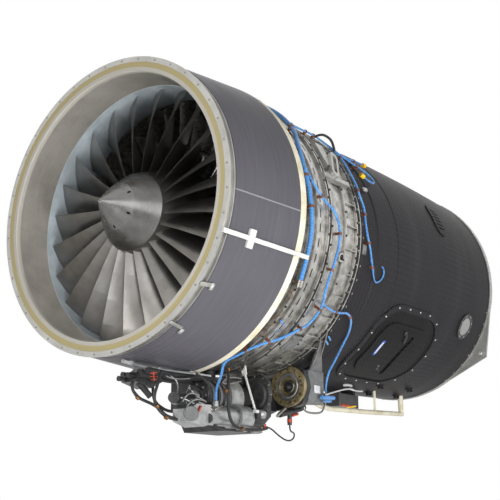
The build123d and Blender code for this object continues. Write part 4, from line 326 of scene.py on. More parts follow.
def make_materials():
    """One finish for each slot of the record."""
    # Painted shade: each dark corner colour and reach given below is mixed in where the AO node finds corners
    colours = bpy.context.scene.turbofan_colours
    rings = (1, 0.03, 1)
    return {
        # Spun aluminium nose: lathe rings spread each highlight into a cone
        "spinner_skin": finish("spun_aluminium", ("#757472", "#81807e", "#8b8a88"), (0.26, 0.33),
                               90, 4, 0.02, 1.0, (1, 0.03, 0), 0.15, anisotropic=0.6, fleck=0.25),
        # Forged titanium, belt-polished from root to tip: dark mirror with warm streaks
        "titanium": finish("forged_titanium", ("#75716c", "#8a8783", "#9c9a98"), (0.28, 0.38),
                           320, 8, 0.03, 0.92, (1, 0.15, 0.15), fleck=0.35),
        # Ground alloy steel: even and cold
        "rotor_steel": finish("ground_steel", ("#7c7c7c", "#8c8c8b", "#9a9a99"), (0.22, 0.4),
                              50, 3, 0.04, 1.0, rings, 0.1),
        # Machined aluminium rim: soft light grey with fine turning marks
        "front_ring": finish("machined_aluminium", ("#b3b2ad", "#c0bfba", "#cbcac6"), (0.3, 0.46),
                             120, 4, 0.05, 0.85, rings, 0.7),
        # Cream epoxy primer, sprayed: slight mottling, no shine
        "cream_primer": inlet_lip(
            finish("epoxy_primer", ("#c3b997", list(colours.primer), "#e4dfce"), (0.4, 0.56), 90, 5, 0.08,
                   painted_corner_shade=("#6d6148", 12))),
        # Satin lining paint over the acoustic liner, marked by air and cleaning
        "liner_paint": finish("satin_lining_paint", ("#9b978f", "#aeaaa2", "#bab6ae"), (0.36, 0.5),
                              260, 7, 0.06, 0.35, (1, 0.08, 1), 0.64),
        # Abradable filler round the blade tips: chalky pale blue-grey
        "track_filler": finish("abradable_filler", ("#a3adb3", "#b2bdc4", "#c1cbd1"), (0.6, 0.8),
                               110, 4, 0.15, 0.0, (1, 0.1, 1), 0.64),
        # Cast and machined aluminium case: cream-grey, with painted shade in its corners
        "case_metal": finish("cast_aluminium", ("#9a9894", "#bbb9b4", "#d9d7d3"), (0.24, 0.4),
                              48, 6, 0.12, 0.9, (1, 0.2, 1), 0.7, painted_corner_shade=("#2b2a29", 20)),
        # Woven aramid belt, dry: straw-coloured cloth
        "aramid": finish("aramid_cloth", ("#b39a55", "#c7ae66", "#d8c27e"), (0.75, 0.9),
                         40, 4, 0.4, 0.0, (1, 0.3, 1), 0.67, sheen=0.3),
        "shell_composite": glossy_skin("polished_composite_skin", list(colours.shell)),
        "duct_composite": woven_carbon("carbon_tow_duct", list(colours.duct), "#434244", "#1d1c1d",
                                       "#322c22", 12, 0.03),
        "panel_composite": woven_carbon("carbon_tow_panel", linear("#262626"), "#3a3938", "#121212",
                                        "#2f2a22", 14, coat=0.06),
        # Nickel sheet that has run hot: straw, brown and blue tints
        "hot_metal": finish("heat_tinted_nickel", ("#6a5f57", "#7d7168", "#8c8378"), (0.32, 0.5),
                            130, 5, 0.08, 1.0, rings, 0.3),
        "liner_metal": finish("scaled_nickel", ("#55504b", "#6a635c", "#7d766d"), (0.45, 0.65),
                              60, 4, 0.1, 1.0),
        # Bearing steel, lapped: the brightest metal inside
        "bearing_steel": finish("lapped_steel", ("#a7a7a6", "#b4b4b3", "#c0c0bf"), (0.14, 0.24),
                                40, 2, 0.02, 1.0, rings, 0.09),
        # Drawn stainless tube: bright, with light lines along it
        "pipe_steel": finish("drawn_stainless", ("#97948e", "#a9a6a0", "#b9b6b0"), (0.2, 0.36),
                             50, 3, 0.04, 1.0, (0.2, 1, 1), painted_corner_shade=("#3a362f", 6)),
        # Machined plate, clear anodised
        "plate_metal": finish("anodised_aluminium", ("#a9a9a5", "#b7b7b3", "#c4c4c0"), (0.3, 0.45),
                              70, 4, 0.05, 0.8, painted_corner_shade=("#403d38", 10)),
        # Black baked enamel on steel, rubbed and oily, with painted shade in its corners
        "black_metal": finish("baked_enamel", ("#1b1b1c", "#272728", "#343435"), (0.26, 0.46),
                              45, 4, 0.12, 0.2, painted_corner_shade=("#0b0b0b", 14), coat=0.2),
        # Magnesium casting under dark paint: a coarse sand-cast skin
        "black_casting": finish("painted_magnesium_casting", ("#1f1f20", "#2f2f30", "#424140"), (0.3, 0.52),
                                55, 6, 0.4, 0.25, painted_corner_shade=("#0d0d0d", 18)),
        "grey_casting": finish("grey_painted_casting", ("#5b5c5c", "#6b6c6c", "#7a7a79"), (0.36, 0.55),
                               60, 6, 0.35, 0.2, painted_corner_shade=("#232322", 16)),
        # Gold chromate conversion over steel: patchy straw and olive
        "gold_chromate": finish("gold_chromate", ("#86795a", "#a2946e", "#bdb08c"), (0.32, 0.48),
                                30, 4, 0.08, 0.75, painted_corner_shade=("#2f2817", 8)),
        "silver_unit": finish("satin_aluminium_casting", ("#8f9090", "#a9aaaa", "#bfc0bf"), (0.26, 0.44),
                              45, 5, 0.2, 0.85, painted_corner_shade=("#242424", 18)),
        "white_paint": finish("white_polyurethane", ("#bcbcb8", "#c9c9c6", "#d4d4d1"), (0.34, 0.48),
                              90, 6, 0.06, painted_corner_shade=("#77746d", 6)),
        "rail_paint": finish("grey_polyurethane", ("#9c9d9e", "#aeb0b0", "#bfc0c0"), (0.36, 0.5),
                             90, 6, 0.06, painted_corner_shade=("#5a5955", 6)),
        "blue_braid": braided("sky_blue_plaited_sleeve", list(colours.sleeve), "#2a5f9c", 5),
        # Neoprene hose: matt, dusted
        "black_rubber": finish("neoprene", ("#161617", "#1e1e1f", "#2a2a2b"), (0.5, 0.68), 60, 4, 0.1),
        # Silicone cushion in a clamp: brick brown
        "clamp_band": finish("silicone_cushion", ("#54301f", "#6b4029", "#835438"), (0.45, 0.62), 30, 3, 0.1),
        "plug_metal": finish("nickel_plated_shell", ("#8e8b84", "#a29f98", "#b5b2ab"), (0.22, 0.38),
                             25, 2, 0.08, 0.9, painted_corner_shade=("#35322d", 6)),
        "cap_yellow": finish("moulded_polythene", ("#d9a400", "#f0bd08", "#f7cc2c"), (0.38, 0.5),
                             30, 3, 0.05),
    }


def trim_materials():
    """Finishes that only the trims have."""
    # Painted shade: a dark corner colour and reach given below is mixed in where the AO node finds corners
    return {
        "steel_bolt": finish("cadmium_plated_steel", ("#a5a29b", "#bab7b0", "#cfccc5"), (0.18, 0.34),
                             12, 2, 0.03, 1.0, painted_corner_shade=("#2f2c27", 5)),
        "dark_bolt": finish("phosphated_steel", ("#3c3a37", "#4d4b47", "#605d58"), (0.35, 0.5),
                            12, 2, 0.05, 0.8),
        # Copper-brown lockwire and clamps
        "lockwire": finish("tinned_copper_wire", ("#6b4a30", "#8a6442", "#a98058"), (0.3, 0.45),
                           12, 2, 0.05, 0.9),
        "red_tape": finish("red_marker_tape", ("#8c2a18", "#a83b24", "#bb4f35"), (0.45, 0.6), 15, 2, 0.05),
        "pale_plate": finish("etched_label_plate", ("#b4b7ba", "#c9cbce", "#d8dadc"), (0.35, 0.5),
                             15, 3, 0.03),
        "blue_print": finish("blue_label_border", ("#274a9c", "#2f57b4", "#3d67c4"), (0.4, 0.5), 15, 3, 0.03),
        "gauze": wire_gauze("stainless_gauze"),
    }


# ---------------------------------------------------------------- modelling helpers


def skin(station, angle, radius):
    """A point at a station along the axis, an angle from +Y over the top, and a radius."""
    turn = math.radians(angle)
    return Vector((station, radius * math.cos(turn), radius * math.sin(turn)))


def frame_at(middle, along, up):
    """A matrix at a point, with its x along one direction and its z near another."""
    x = Vector(along).normalized()
    y = Vector(up).cross(x).normalized()
    z = x.cross(y)
    matrix = Matrix((x, y, z)).transposed().to_4x4()
    matrix.translation = middle
    return matrix


def outward(station, angle, radius, turn=0.0):
    """A place on the round skin: x aft, z outwards, turned about z by degrees."""
    middle = skin(station, angle, radius)
    return frame_at(middle, (1, 0, 0), (0, middle.y, middle.z)) @ Matrix.Rotation(math.radians(turn), 4, "Z")


def facing(station, angle, radius, way=-1):
    """A place on a flange's face: z along the axis, forward or aft, x outwards."""
    middle = skin(station, angle, radius)
    return frame_at(middle, (0, middle.y, middle.z), (way, 0, 0))


def forward(x, y, z):
    """A place whose z faces forward and whose x points up."""
    return frame_at(Vector((x, y, z)), UP, FORWARD)


def ring(place, radius, angles, height=0):
    """Places round the z of a place."""
    return [place @ Matrix.Translation((radius * math.cos(math.radians(a)),
                                        radius * math.sin(math.radians(a)), height)) for a in angles]


def clear_choice():
    """Leave edit mode and deselect all."""
    if bpy.context.object and bpy.context.object.mode != "OBJECT":
        bpy.ops.object.mode_set(mode="OBJECT")
    bpy.ops.object.select_all(action="DESELECT")


def pick(piece):
    """Make a piece the active one and select it too."""
    bpy.context.view_layer.objects.active = piece
    piece.select_set(True)


def begin(name, kind, **sizes):
    """Add a primitive and go into edit mode on it."""
    clear_choice()
    getattr(bpy.ops.mesh, "primitive_%s_add" % kind)(**sizes)
    piece = bpy.context.object
    piece.name = piece.data.name = name
    bpy.ops.object.transform_apply(location=True, rotation=True, scale=True)
    bpy.ops.object.mode_set(mode="EDIT")
    return piece


def choose(piece, test, edges=False):
    """Select the faces or edges whose middle and direction pass a test."""
    bpy.ops.mesh.select_mode(type="EDGE" if edges else "FACE")
    bpy.ops.mesh.select_all(action="DESELECT")
    mesh = bmesh.from_edit_mesh(piece.data)
    for item in mesh.edges if edges else mesh.faces:
        if edges:
            middle = (item.verts[0].co + item.verts[1].co) / 2
            way = (item.verts[1].co - item.verts[0].co).normalized()
        else:
            middle, way = item.calc_center_median(), item.normal
        item.select_set(bool(test(middle, way)))
    mesh.select_flush_mode()
    bmesh.update_edit_mesh(piece.data)


def faces_up(middle, way):
    """Whether a face looks along z."""
    return way.z > 0.9


def raise_faces(inset, height):
    """Inset the chosen faces and extrude them along z."""
    if inset:
        bpy.ops.mesh.inset(thickness=inset)
    if height:
        bpy.ops.mesh.extrude_region_move(TRANSFORM_OT_translate={"value": (0, 0, height)})


def end(piece, place=None, smooth=40):
    """Leave edit mode, move the mesh to its place and shade it."""
    bpy.ops.object.mode_set(mode="OBJECT")
    if place is not None:
        piece.data.transform(place)
    bpy.ops.object.shade_smooth_by_angle(angle=math.radians(smooth))
    return piece


def thicken(piece, thickness, offset):
    """Give the sheet that is being edited a wall."""
    bpy.ops.object.mode_set(mode="OBJECT")
    wall = piece.modifiers.new("wall", "SOLIDIFY")
    wall.thickness = thickness
    wall.offset = offset
    bpy.ops.object.modifier_apply(modifier=wall.name)
    bpy.ops.object.mode_set(mode="EDIT")


def join(pieces, name):
    """Join finished pieces of one finish."""
    bpy.ops.object.select_all(action="DESELECT")
    for piece in pieces:
        piece.select_set(True)
    bpy.context.view_layer.objects.active = pieces[0]
    if len(pieces) > 1:
        bpy.ops.object.join()
    pieces[0].name = name
    return pieces[0]


def copies(pattern, places, name):
    """Copy a finished shape to each place and join the copies as one piece."""
    twins = []
    for place in places:
        mesh = pattern.data.copy()
        mesh.transform(place)
        twins.append(bpy.data.objects.new(name, mesh))
        bpy.context.scene.collection.objects.link(twins[-1])
    bpy.data.objects.remove(pattern)
    return join(twins, name)


def dress(piece, look):
    """Give a piece its finish and fix it to the engine."""
    piece.data.materials.clear()
    piece.data.materials.append(MATERIALS[look])
    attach(piece, STATIC)
    return piece


def fasten(pattern, places, name, look="steel_bolt"):
    """Fit a fastener at each place."""
    dress(copies(pattern, places, name), look)


def bolt(radius, height, sides=12):
    """A bolt: a washer face, a head and a hollow in it."""
    piece = begin("bolt", "cylinder", vertices=sides, radius=radius, depth=height * 0.3,
                  location=(0, 0, height * 0.15))
    choose(piece, faces_up)
    raise_faces(radius * 0.28, height * 0.7)
    raise_faces(radius * 0.3, -height * 0.3)
    return end(piece)


def screw(radius, height, sides=10):
    """A low pan-head screw with a recess."""
    piece = begin("screw", "cone", vertices=sides, radius1=radius, radius2=radius * 0.78, depth=height,
                  location=(0, 0, height / 2))
    choose(piece, faces_up)
    raise_faces(radius * 0.42, -height * 0.6)
    return end(piece)


def bushing(outer, inner, height):
    """A flat ring with an open bore."""
    piece = begin("bushing", "cylinder", vertices=14, radius=outer, depth=height,
                  location=(0, 0, height / 2), end_fill_type="NOTHING")
    thicken(piece, outer - inner, -1)
    return end(piece, smooth=30)


def slab(name, size, place, edge=0.0015, boss=0.0):
    """A plate or block with broken edges and, if asked, a raised middle."""
    piece = begin(name, "cube", size=1, scale=size, location=(0, 0, size[2] / 2))
    if boss:
        choose(piece, faces_up)
        raise_faces(min(size[:2]) * 0.18, boss)
    choose(piece, lambda middle, way: True, edges=True)
    bpy.ops.mesh.bevel(offset=edge, segments=2, affect="EDGES")
    return end(piece, place)


def turned(name, outline, place, steps=28):
    """Spin an outline of (radius, height) corners about z; the ends on the axis close it."""
    clear_choice()
    mesh = bpy.data.meshes.new(name)
    mesh.from_pydata([(radius, 0, height) for radius, height in outline],
                     [(spot, spot + 1) for spot in range(len(outline) - 1)], [])
    piece = bpy.data.objects.new(name, mesh)
    bpy.context.scene.collection.objects.link(piece)
    pick(piece)
    bpy.ops.object.mode_set(mode="EDIT")
    bpy.ops.mesh.select_all(action="SELECT")
    bpy.ops.mesh.spin(steps=steps, angle=2 * math.pi, center=(0, 0, 0), axis=(0, 0, 1))
    bpy.ops.mesh.select_all(action="SELECT")
    bpy.ops.mesh.remove_doubles(threshold=0.00005)
    bpy.ops.mesh.normals_make_consistent(inside=False)
    return end(piece, place, 35)


def route(name, points, diameter, facets=4):
    """A smooth NURBS line through the air with round section; points are its control points."""
    line = bpy.data.curves.new(name, "CURVE")
    line.dimensions = "3D"
    line.resolution_u = 8
    spline = line.splines.new("NURBS")
    spline.points.add(len(points) - 1)
    for spot, point in zip(spline.points, points):
        spot.co = (*point, 1)
    spline.order_u = 3
    spline.use_endpoint_u = True
    line.bevel_depth = diameter / 2
    line.bevel_resolution = facets
    line.use_fill_caps = True
    piece = bpy.data.objects.new(name, line)
    bpy.context.scene.collection.objects.link(piece)
    return piece


def pipe(name, points, diameter):
    """A rigid pipe or clipped wire, made a mesh."""
    clear_choice()
    piece = route(name, points, diameter, 2)
    piece.data.resolution_u = 5
    pick(piece)
    bpy.ops.object.convert(target="MESH")
    bpy.ops.object.shade_smooth_by_angle(angle=math.radians(50))
    return bpy.context.object


def rounded_outline(length, width, corner, count):
    """Evenly spaced points round a rounded rectangle, as (along, across)."""
    flat, rise = length - 2 * corner, width - 2 * corner
    arc = math.pi * corner / 2
    runs = (flat, arc, rise, arc) * 2
    spots = []
    for number in range(count):
        left = sum(runs) * number / count
        for side, run in enumerate(runs):
            if left <= run:
                break
            left -= run
        bend = left / run * math.pi / 2
        u, v = (
            (-flat / 2 + left, -width / 2),
            (flat / 2 + corner * math.sin(bend), -rise / 2 - corner * math.cos(bend)),
            (length / 2, -rise / 2 + left),
            (flat / 2 + corner * math.cos(bend), rise / 2 + corner * math.sin(bend)),
        )[side % 4]
        spots.append((u, v) if side < 4 else (-u, -v))
    return spots


# ---------------------------------------------------------------- operators


class TURBOFAN_OT_cords(bpy.types.Operator):
    """Lay the free tail of the sensor harness and the lead that loops under the gearbox"""

    bl_idname = "turbofan.cords"
    bl_label = "Free harness tail and lead"

    def execute(self, context):
        sizes = context.scene.turbofan_sizes
        tail_points = [
            skin(1.258, -164, 0.698), skin(1.276, -161.7, 0.698), skin(1.306, -160.4, 0.697),
            skin(1.336, -161.4, 0.696), skin(1.360, -163.2, 0.696), skin(1.366, -165.6, 0.696),
            skin(1.352, -167.6, 0.696), skin(1.335, -168.0, 0.696),
        ]
        tail = dress(route("sensor_tail", tail_points, sizes.tail_diameter), "blue_braid")
        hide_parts("harness_tail")
        lead_points = [
            (0.88505, -0.200, -0.968), (0.984, -0.200, -0.968), (1.070, -0.200, -1.012),
            (1.150, -0.200, -1.036), (1.204, -0.200, -1.020), (1.212, -0.200, -0.988),
            (1.168, -0.200, -0.984), (1.168, -0.200, -0.95105),
        ]
        lead = dress(route("gearbox_loop", lead_points, sizes.lead_diameter), "black_rubber")
        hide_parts("gearbox_lead")
        return {"FINISHED"}


class TURBOFAN_OT_finishes(bpy.types.Operator):
    """Give every part of the CAD model the finish of its slot"""

    bl_idname = "turbofan.finishes"
    bl_label = "Finishes"

    def execute(self, context):
        chosen = {row["node"]: row["material_slot"] for row in frame["record"]["subparts"]}
        for node, piece in frame["nodes"].items():
            material = MATERIALS[chosen[node]]
            if piece.material_slots:
                for place in piece.material_slots:
                    place.material = material
            else:
                piece.data.materials.append(material)
        return {"FINISHED"}


class TURBOFAN_OT_flange_fasteners(bpy.types.Operator):
    """Fit the rim's bushings, the bolts of the case flanges and the screws of the case ridges"""

    bl_idname = "turbofan.flange_fasteners"
    bl_label = "Flange bolts and bushings"

    def execute(self, context):
        sizes = context.scene.turbofan_sizes
        count = sizes.flange_bolts
        fasten(bushing(0.0054, 0.0032, 0.0012),
               [facing(0, 4.5 + 9 * k, 0.699) for k in range(40)], "rim_bushings")
        rows = ((0.576, 0.6915, 1), (1.092, 0.6915, -1), (1.116, 0.6925, 1))
        fasten(bolt(sizes.bolt_radius, sizes.bolt_height),
               [facing(station, 360 / count * (k + 0.5), reach, way)
                for station, reach, way in rows for k in range(count)], "flange_bolts")
        ridges = ((0.783, 48, 0, 0.712), (0.807, 48, 3.75, 0.712), (0.955, 36, 5, 0.700),
                  (1.073, 72, 2.5, 0.694), (0.644, 48, 2, 0.706))
        fasten(screw(sizes.screw_radius, 0.005),
               [outward(station, 360 / many * k + first, reach)
                for station, many, first, reach in ridges for k in range(many)],
               "ridge_screws", "dark_bolt")
        return {"FINISHED"}


class TURBOFAN_OT_duct_rivets(bpy.types.Operator):
    """Rivet the duct's rear edge, its doubler by the rear mount and its front band"""

    bl_idname = "turbofan.duct_rivets"
    bl_label = "Duct rivets"

    def execute(self, context):
        sizes = context.scene.turbofan_sizes
        step = 360 / sizes.rear_rivets
        places = [outward(2.7105, step * k, 0.686) for k in range(sizes.rear_rivets)]
        places += [outward(2.698, step * (k + 0.5), 0.6805) for k in range(sizes.rear_rivets)
                   if 190 < step * (k + 0.5) < 242]
        places += [outward(1.124, 6 * k + 3, 0.6845) for k in range(60)]
        fasten(screw(0.0052, 0.003, 8), places, "duct_rivets")
        return {"FINISHED"}


class TURBOFAN_OT_panel_fittings(bpy.types.Operator):
    """Screw down the access panel and fit its latches and its bare label plate"""

    bl_idname = "turbofan.panel_fittings"
    bl_label = "Access panel fittings"

    def execute(self, context):
        sizes = context.scene.turbofan_sizes
        station, angle, length, width, corner = 1.808, -132, 0.650, 0.484, 0.201
        margin = 0.046
        places = [
            outward(station + along, angle - math.degrees(math.asin(across / 0.706)), 0.7065)
            for along, across in rounded_outline(length + margin, width + margin, corner, 18)]
        fasten(screw(sizes.screw_radius, 0.004), places, "panel_screws")
        label = outward(1.6255, -133, 0.7086)
        border = slab("label_border", (0.026, 0.104, 0.0012), label, 0.0004)
        dress(border, "blue_print")
        plate = slab("label_plate", (0.015, 0.078, 0.0022), label, 0.0004)
        dress(plate, "pale_plate")
        hook = slab("panel_latch_bar", (0.014, 0.056, 0.010), outward(1.802, -140.6, 0.7085, 18),
                    0.002, 0.004)
        knob = turned("panel_latch_knob", [(0, 0), (0.012, 0), (0.012, 0.010), (0.008, 0.014), (0, 0.014)],
                      outward(1.770, -143.2, 0.7085), 18)
        dress(join([hook, knob], "panel_latch"), "black_metal")
        fasten(bolt(0.007, 0.007, 10),
               [outward(1.774, -123.4, 0.7087), outward(1.790, -121.6, 0.7087)], "panel_studs")
        return {"FINISHED"}


class TURBOFAN_OT_port_gauze(bpy.types.Operator):
    """Stretch gauze over the port and screw its ring down"""

    bl_idname = "turbofan.port_gauze"
    bl_label = "Port gauze"

    def execute(self, context):
        gauze = begin("port_gauze", "circle", vertices=48, radius=0.0555, fill_type="TRIFAN")
        bpy.ops.mesh.subdivide(number_cuts=3)
        bpy.ops.object.mode_set(mode="OBJECT")
        middle = outward(*PORT)
        for vertex in gauze.data.vertices:
            spot = middle @ vertex.co
            reach = math.hypot(spot.y, spot.z)
            vertex.co = Vector((spot.x, spot.y / reach * PORT[2], spot.z / reach * PORT[2]))
        thicken(gauze, 0.0015, 0)
        dress(end(gauze), "gauze")
        screws = []
        for k in range(8):
            turn = math.radians(45 * k + 20)
            screws.append(outward(PORT[0] + 0.068 * math.cos(turn),
                                  PORT[1] + math.degrees(0.068 * math.sin(turn) / 0.70), 0.6985))
        fasten(screw(0.005, 0.003, 8), screws, "port_screws")
        return {"FINISHED"}


class TURBOFAN_OT_case_trims(bpy.types.Operator):
    """Fit the lockwire, rim clips, covers, tags, cable and rods round the cases"""

    bl_idname = "turbofan.case_trims"
    bl_label = "Case trims and lockwire"

    def execute(self, context):
        wires = []
        for angle, reach in ((-149, 0.052), (-145.5, 0.05), (-138, 0.06), (-133.5, 0.055), (-128, 0.05),
                             (176, 0.05), (168, 0.045), (160, 0.045)):
            wires.append(pipe("wire", [
                skin(0.548, angle - 2.2, 0.747), skin(0.575, angle - 2.6, 0.728),
                skin(0.604, angle - 1.8, 0.712), skin(0.600 + reach, angle, 0.711),
                skin(0.628, angle + 2.2, 0.712), skin(0.596, angle + 2.4, 0.716)], 0.0034))
        dress(join(wires, "lockwire_loops"), "lockwire")
        clips = [
            ((0.075, 0.020, 0.004), (0.040, -141.2, 0.7135, 4), 0.001, 0),
            ((0.018, 0.034, 0.012), (0.078, -141.0, 0.7105), 0.002, 0.004),
            ((0.100, 0.018, 0.004), (0.050, -122.6, 0.7135, -12), 0.001, 0),
            ((0.018, 0.030, 0.012), (0.104, -120.6, 0.7125), 0.002, 0.004),
            ((0.036, 0.022, 0.010), (1.253, 157.5, 0.685), 0.002, 0.005),
        ]
        covers = [
            ((0.085, 0.105, 0.016), (0.905, -124.5, 0.6885), 0.004, 0.006),
            ((0.030, 0.050, 0.020), (1.131, -172.1, 0.6865), 0.003, 0.004),
        ]
        for name, look, plates in (
            ("rim_clips", "plate_metal", clips), ("case_covers", "grey_casting", covers),
        ):
            dress(join([slab(name, size, outward(*spot), edge, boss) for size, spot, edge, boss in plates],
                       name), look)
        studs = [outward(0.905 + du, -124.5 + dv, 0.7045) for du in (-0.034, 0.034) for dv in (-3.4, 3.4)]
        studs += [outward(0.977, 174.4, 0.6895), outward(0.975, 176.8, 0.6895)]
        fasten(bolt(0.008, 0.009, 10), studs, "cover_studs")
        tags = [pipe("tag", [skin(station, angle, 0.694), skin(station + 0.008, angle + 0.5, 0.708),
                             skin(station + 0.024, angle + 1.1, 0.704)], 0.009)
                for station, angle in ((0.690, -134), (0.806, -136), (1.141, -132), (1.150, -129.6))]
        dress(join(tags, "blue_tags"), "blue_braid")
        hump = pipe("cable_hump", [
            skin(0.990, 134, 0.712), skin(1.000, 135, 0.745), skin(1.030, 137, 0.756),
            skin(1.064, 139, 0.748), skin(1.090, 141, 0.716)], 0.014)
        dress(hump, "black_rubber")
        rods = [
            (((1.085, -134, 0.708), (1.120, -129, 0.722), (1.160, -123, 0.735)), 0.008),
            (((1.070, -131, 0.706), (1.110, -126, 0.726), (1.150, -119, 0.742)), 0.008),
            (((0.985, -127, 0.699), (1.040, -125, 0.714), (1.098, -126, 0.716)), 0.007),
            (((0.720, -112, 0.708), (0.728, -109, 0.724), (0.770, -106, 0.728), (0.800, -103, 0.722)), 0.009),
        ]
        dress(join([pipe("rod", [skin(*spot) for spot in spots], diameter) for spots, diameter in rods],
                   "case_rods"), "pipe_steel")
        return {"FINISHED"}


class TURBOFAN_OT_starter_trims(bpy.types.Operator):
    """Line the starter pad's recess and fit its studs"""

    bl_idname = "turbofan.starter_trims"
    bl_label = "Starter pad trims"

    def execute(self, context):
        centre = forward(1.130, -0.222, -0.757)
        collar = turned("starter_collar", [
            (0.0515, 0), (0.0515, 0.004), (0.056, 0.006), (0.060, 0.003), (0.0715, 0.003), (0.0715, 0),
            (0.0515, 0)], centre, 40)
        dress(collar, "silver_unit")
        studs = ring(centre, 0.088, (15, 105, 195, 285), 0.010)
        fasten(bolt(0.0075, 0.008, 10), studs, "starter_studs")
        teeth = [centre @ Matrix.Rotation(math.radians(7.5 * k), 4, "Z")
                 @ Matrix.Translation((0.1035, 0, -0.002)) for k in range(48)]
        tooth = begin("tooth", "cube", size=1, scale=(0.004, 0.007, 0.010))
        choose(tooth, lambda middle, way: way.x > 0.9)
        raise_faces(0.0012, 0.0)
        dress(copies(end(tooth), teeth, "starter_rim_teeth"), "gold_chromate")
        return {"FINISHED"}


class TURBOFAN_OT_gearbox_dressing(bpy.types.Operator):
    """Fit the bands, bolts, pipes, caps and connectors of the gearbox and its units"""

    bl_idname = "turbofan.gearbox_dressing"
    bl_label = "Gearbox dressing"

    def execute(self, context):
        axis = forward(0.490, -0.130, -0.853)
        bands = [turned("band", [(0.0795, -h - 0.008), (0.084, -h - 0.008), (0.084, -h + 0.008),
                                 (0.0795, -h + 0.008)], axis, 36) for h in (0.040, 0.096, 0.136)]
        bands.append(turned(
            "band", [(0, 0), (0.026, 0), (0.026, 0.012), (0.018, 0.016), (0, 0.016)], axis, 24))
        dress(join(bands, "generator_bands"), "grey_casting")
        bulge = forward(0.842, -0.220, -0.828)
        bolts = ring(axis, 0.056, range(0, 360, 45), -0.010)
        bolts += ring(forward(0.640, -0.130, -0.853), 0.094, range(10, 360, 30))
        bolts += ring(bulge, 0.093, range(0, 360, 30))
        bolts += [forward(0.850, y, -0.972) for y in (-0.20, -0.10, 0.0, 0.10)]
        fasten(bolt(0.0065, 0.008, 10), bolts, "gearbox_bolts")
        ribs = [slab("rib", (0.026, 0.006, 0.006), bulge @ Matrix.Rotation(math.radians(45 * k), 4, "Z")
                     @ Matrix.Translation((0.053, 0, 0.016)), 0.0015) for k in range(8)]
        dress(join(ribs, "bulge_ribs"), "black_casting")
        unit_face = (-1, -0.7, 0)
        cap_place = frame_at(Vector((0.285, -0.285, -0.962)) + Vector(unit_face).normalized() * 0.066,
                             UP, unit_face)
        cap = turned("fuel_unit_cap", [(0, 0), (0.033, 0), (0.033, 0.012), (0.029, 0.017), (0, 0.017)],
                     cap_place, 28)
        dress(cap, "grey_casting")
        plate = slab("block_plate", (0.055, 0.004, 0.040),
                     Matrix.Translation((1.270, -0.3065, -0.785)), 0.001)
        dress(plate, "pale_plate")
        for name, look, slot_name, runs in GEARBOX_RUNS:
            bits = [pipe("run", [[value / 1000 for value in point] for point in points], diameter / 1000)
                    for points, diameter in runs]
            dress(join(bits, name), look)
        port = turned("fuel_port", [(0.010, 0), (0.021, 0), (0.024, 0.004), (0.021, 0.009), (0.010, 0.009),
                                    (0.010, 0)], frame_at(Vector((0.385, -0.292, -0.972)), UP, unit_face), 24)
        dress(port, "black_metal")
        domes = [turned("dome", [(0, 0), (0.024, 0), (0.024, 0.022), (0.016, 0.034), (0, 0.037)],
                        forward(*spot), 20) for spot in ((0.846, -0.262, -0.922), (0.846, -0.205, -0.955))]
        dress(join(domes, "housing_domes"), "silver_unit")
        tape = [turned("tape", [(0.008, 0), (0.011, 0), (0.011, 0.012), (0.008, 0.012)],
                       frame_at(Vector(spot), UP, way), 14)
                for spot, way in (((0.100, -0.078, -0.790), FORWARD), ((0.100, -0.045, -0.786), FORWARD),
                                  ((0.935, -0.200, -0.968), (1, 0, 0)), ((1.168, -0.200, -0.962), UP))]
        dress(join(tape, "marker_tape"), "red_tape")
        return {"FINISHED"}


def backdrop_rays(tree):
    """One for the rays that show the backdrop: the camera's, and those off metal and through glass."""
    rays = add_node(tree, "ShaderNodeLightPath").outputs
    seen = calc(tree, "MAXIMUM", rays["Is Camera Ray"], rays["Is Glossy Ray"])
    return calc(tree, "MAXIMUM", seen, rays["Is Transmission Ray"])


def add_object(name, data, spot, direction):
    """Put a lamp or a camera at a spot, looking in a direction."""
    holder = bpy.data.objects.new(name, data)
    bpy.context.scene.collection.objects.link(holder)
    holder.location = spot
    holder.rotation_euler = Vector(direction).to_track_quat("-Z", "Y").to_euler()
    return holder


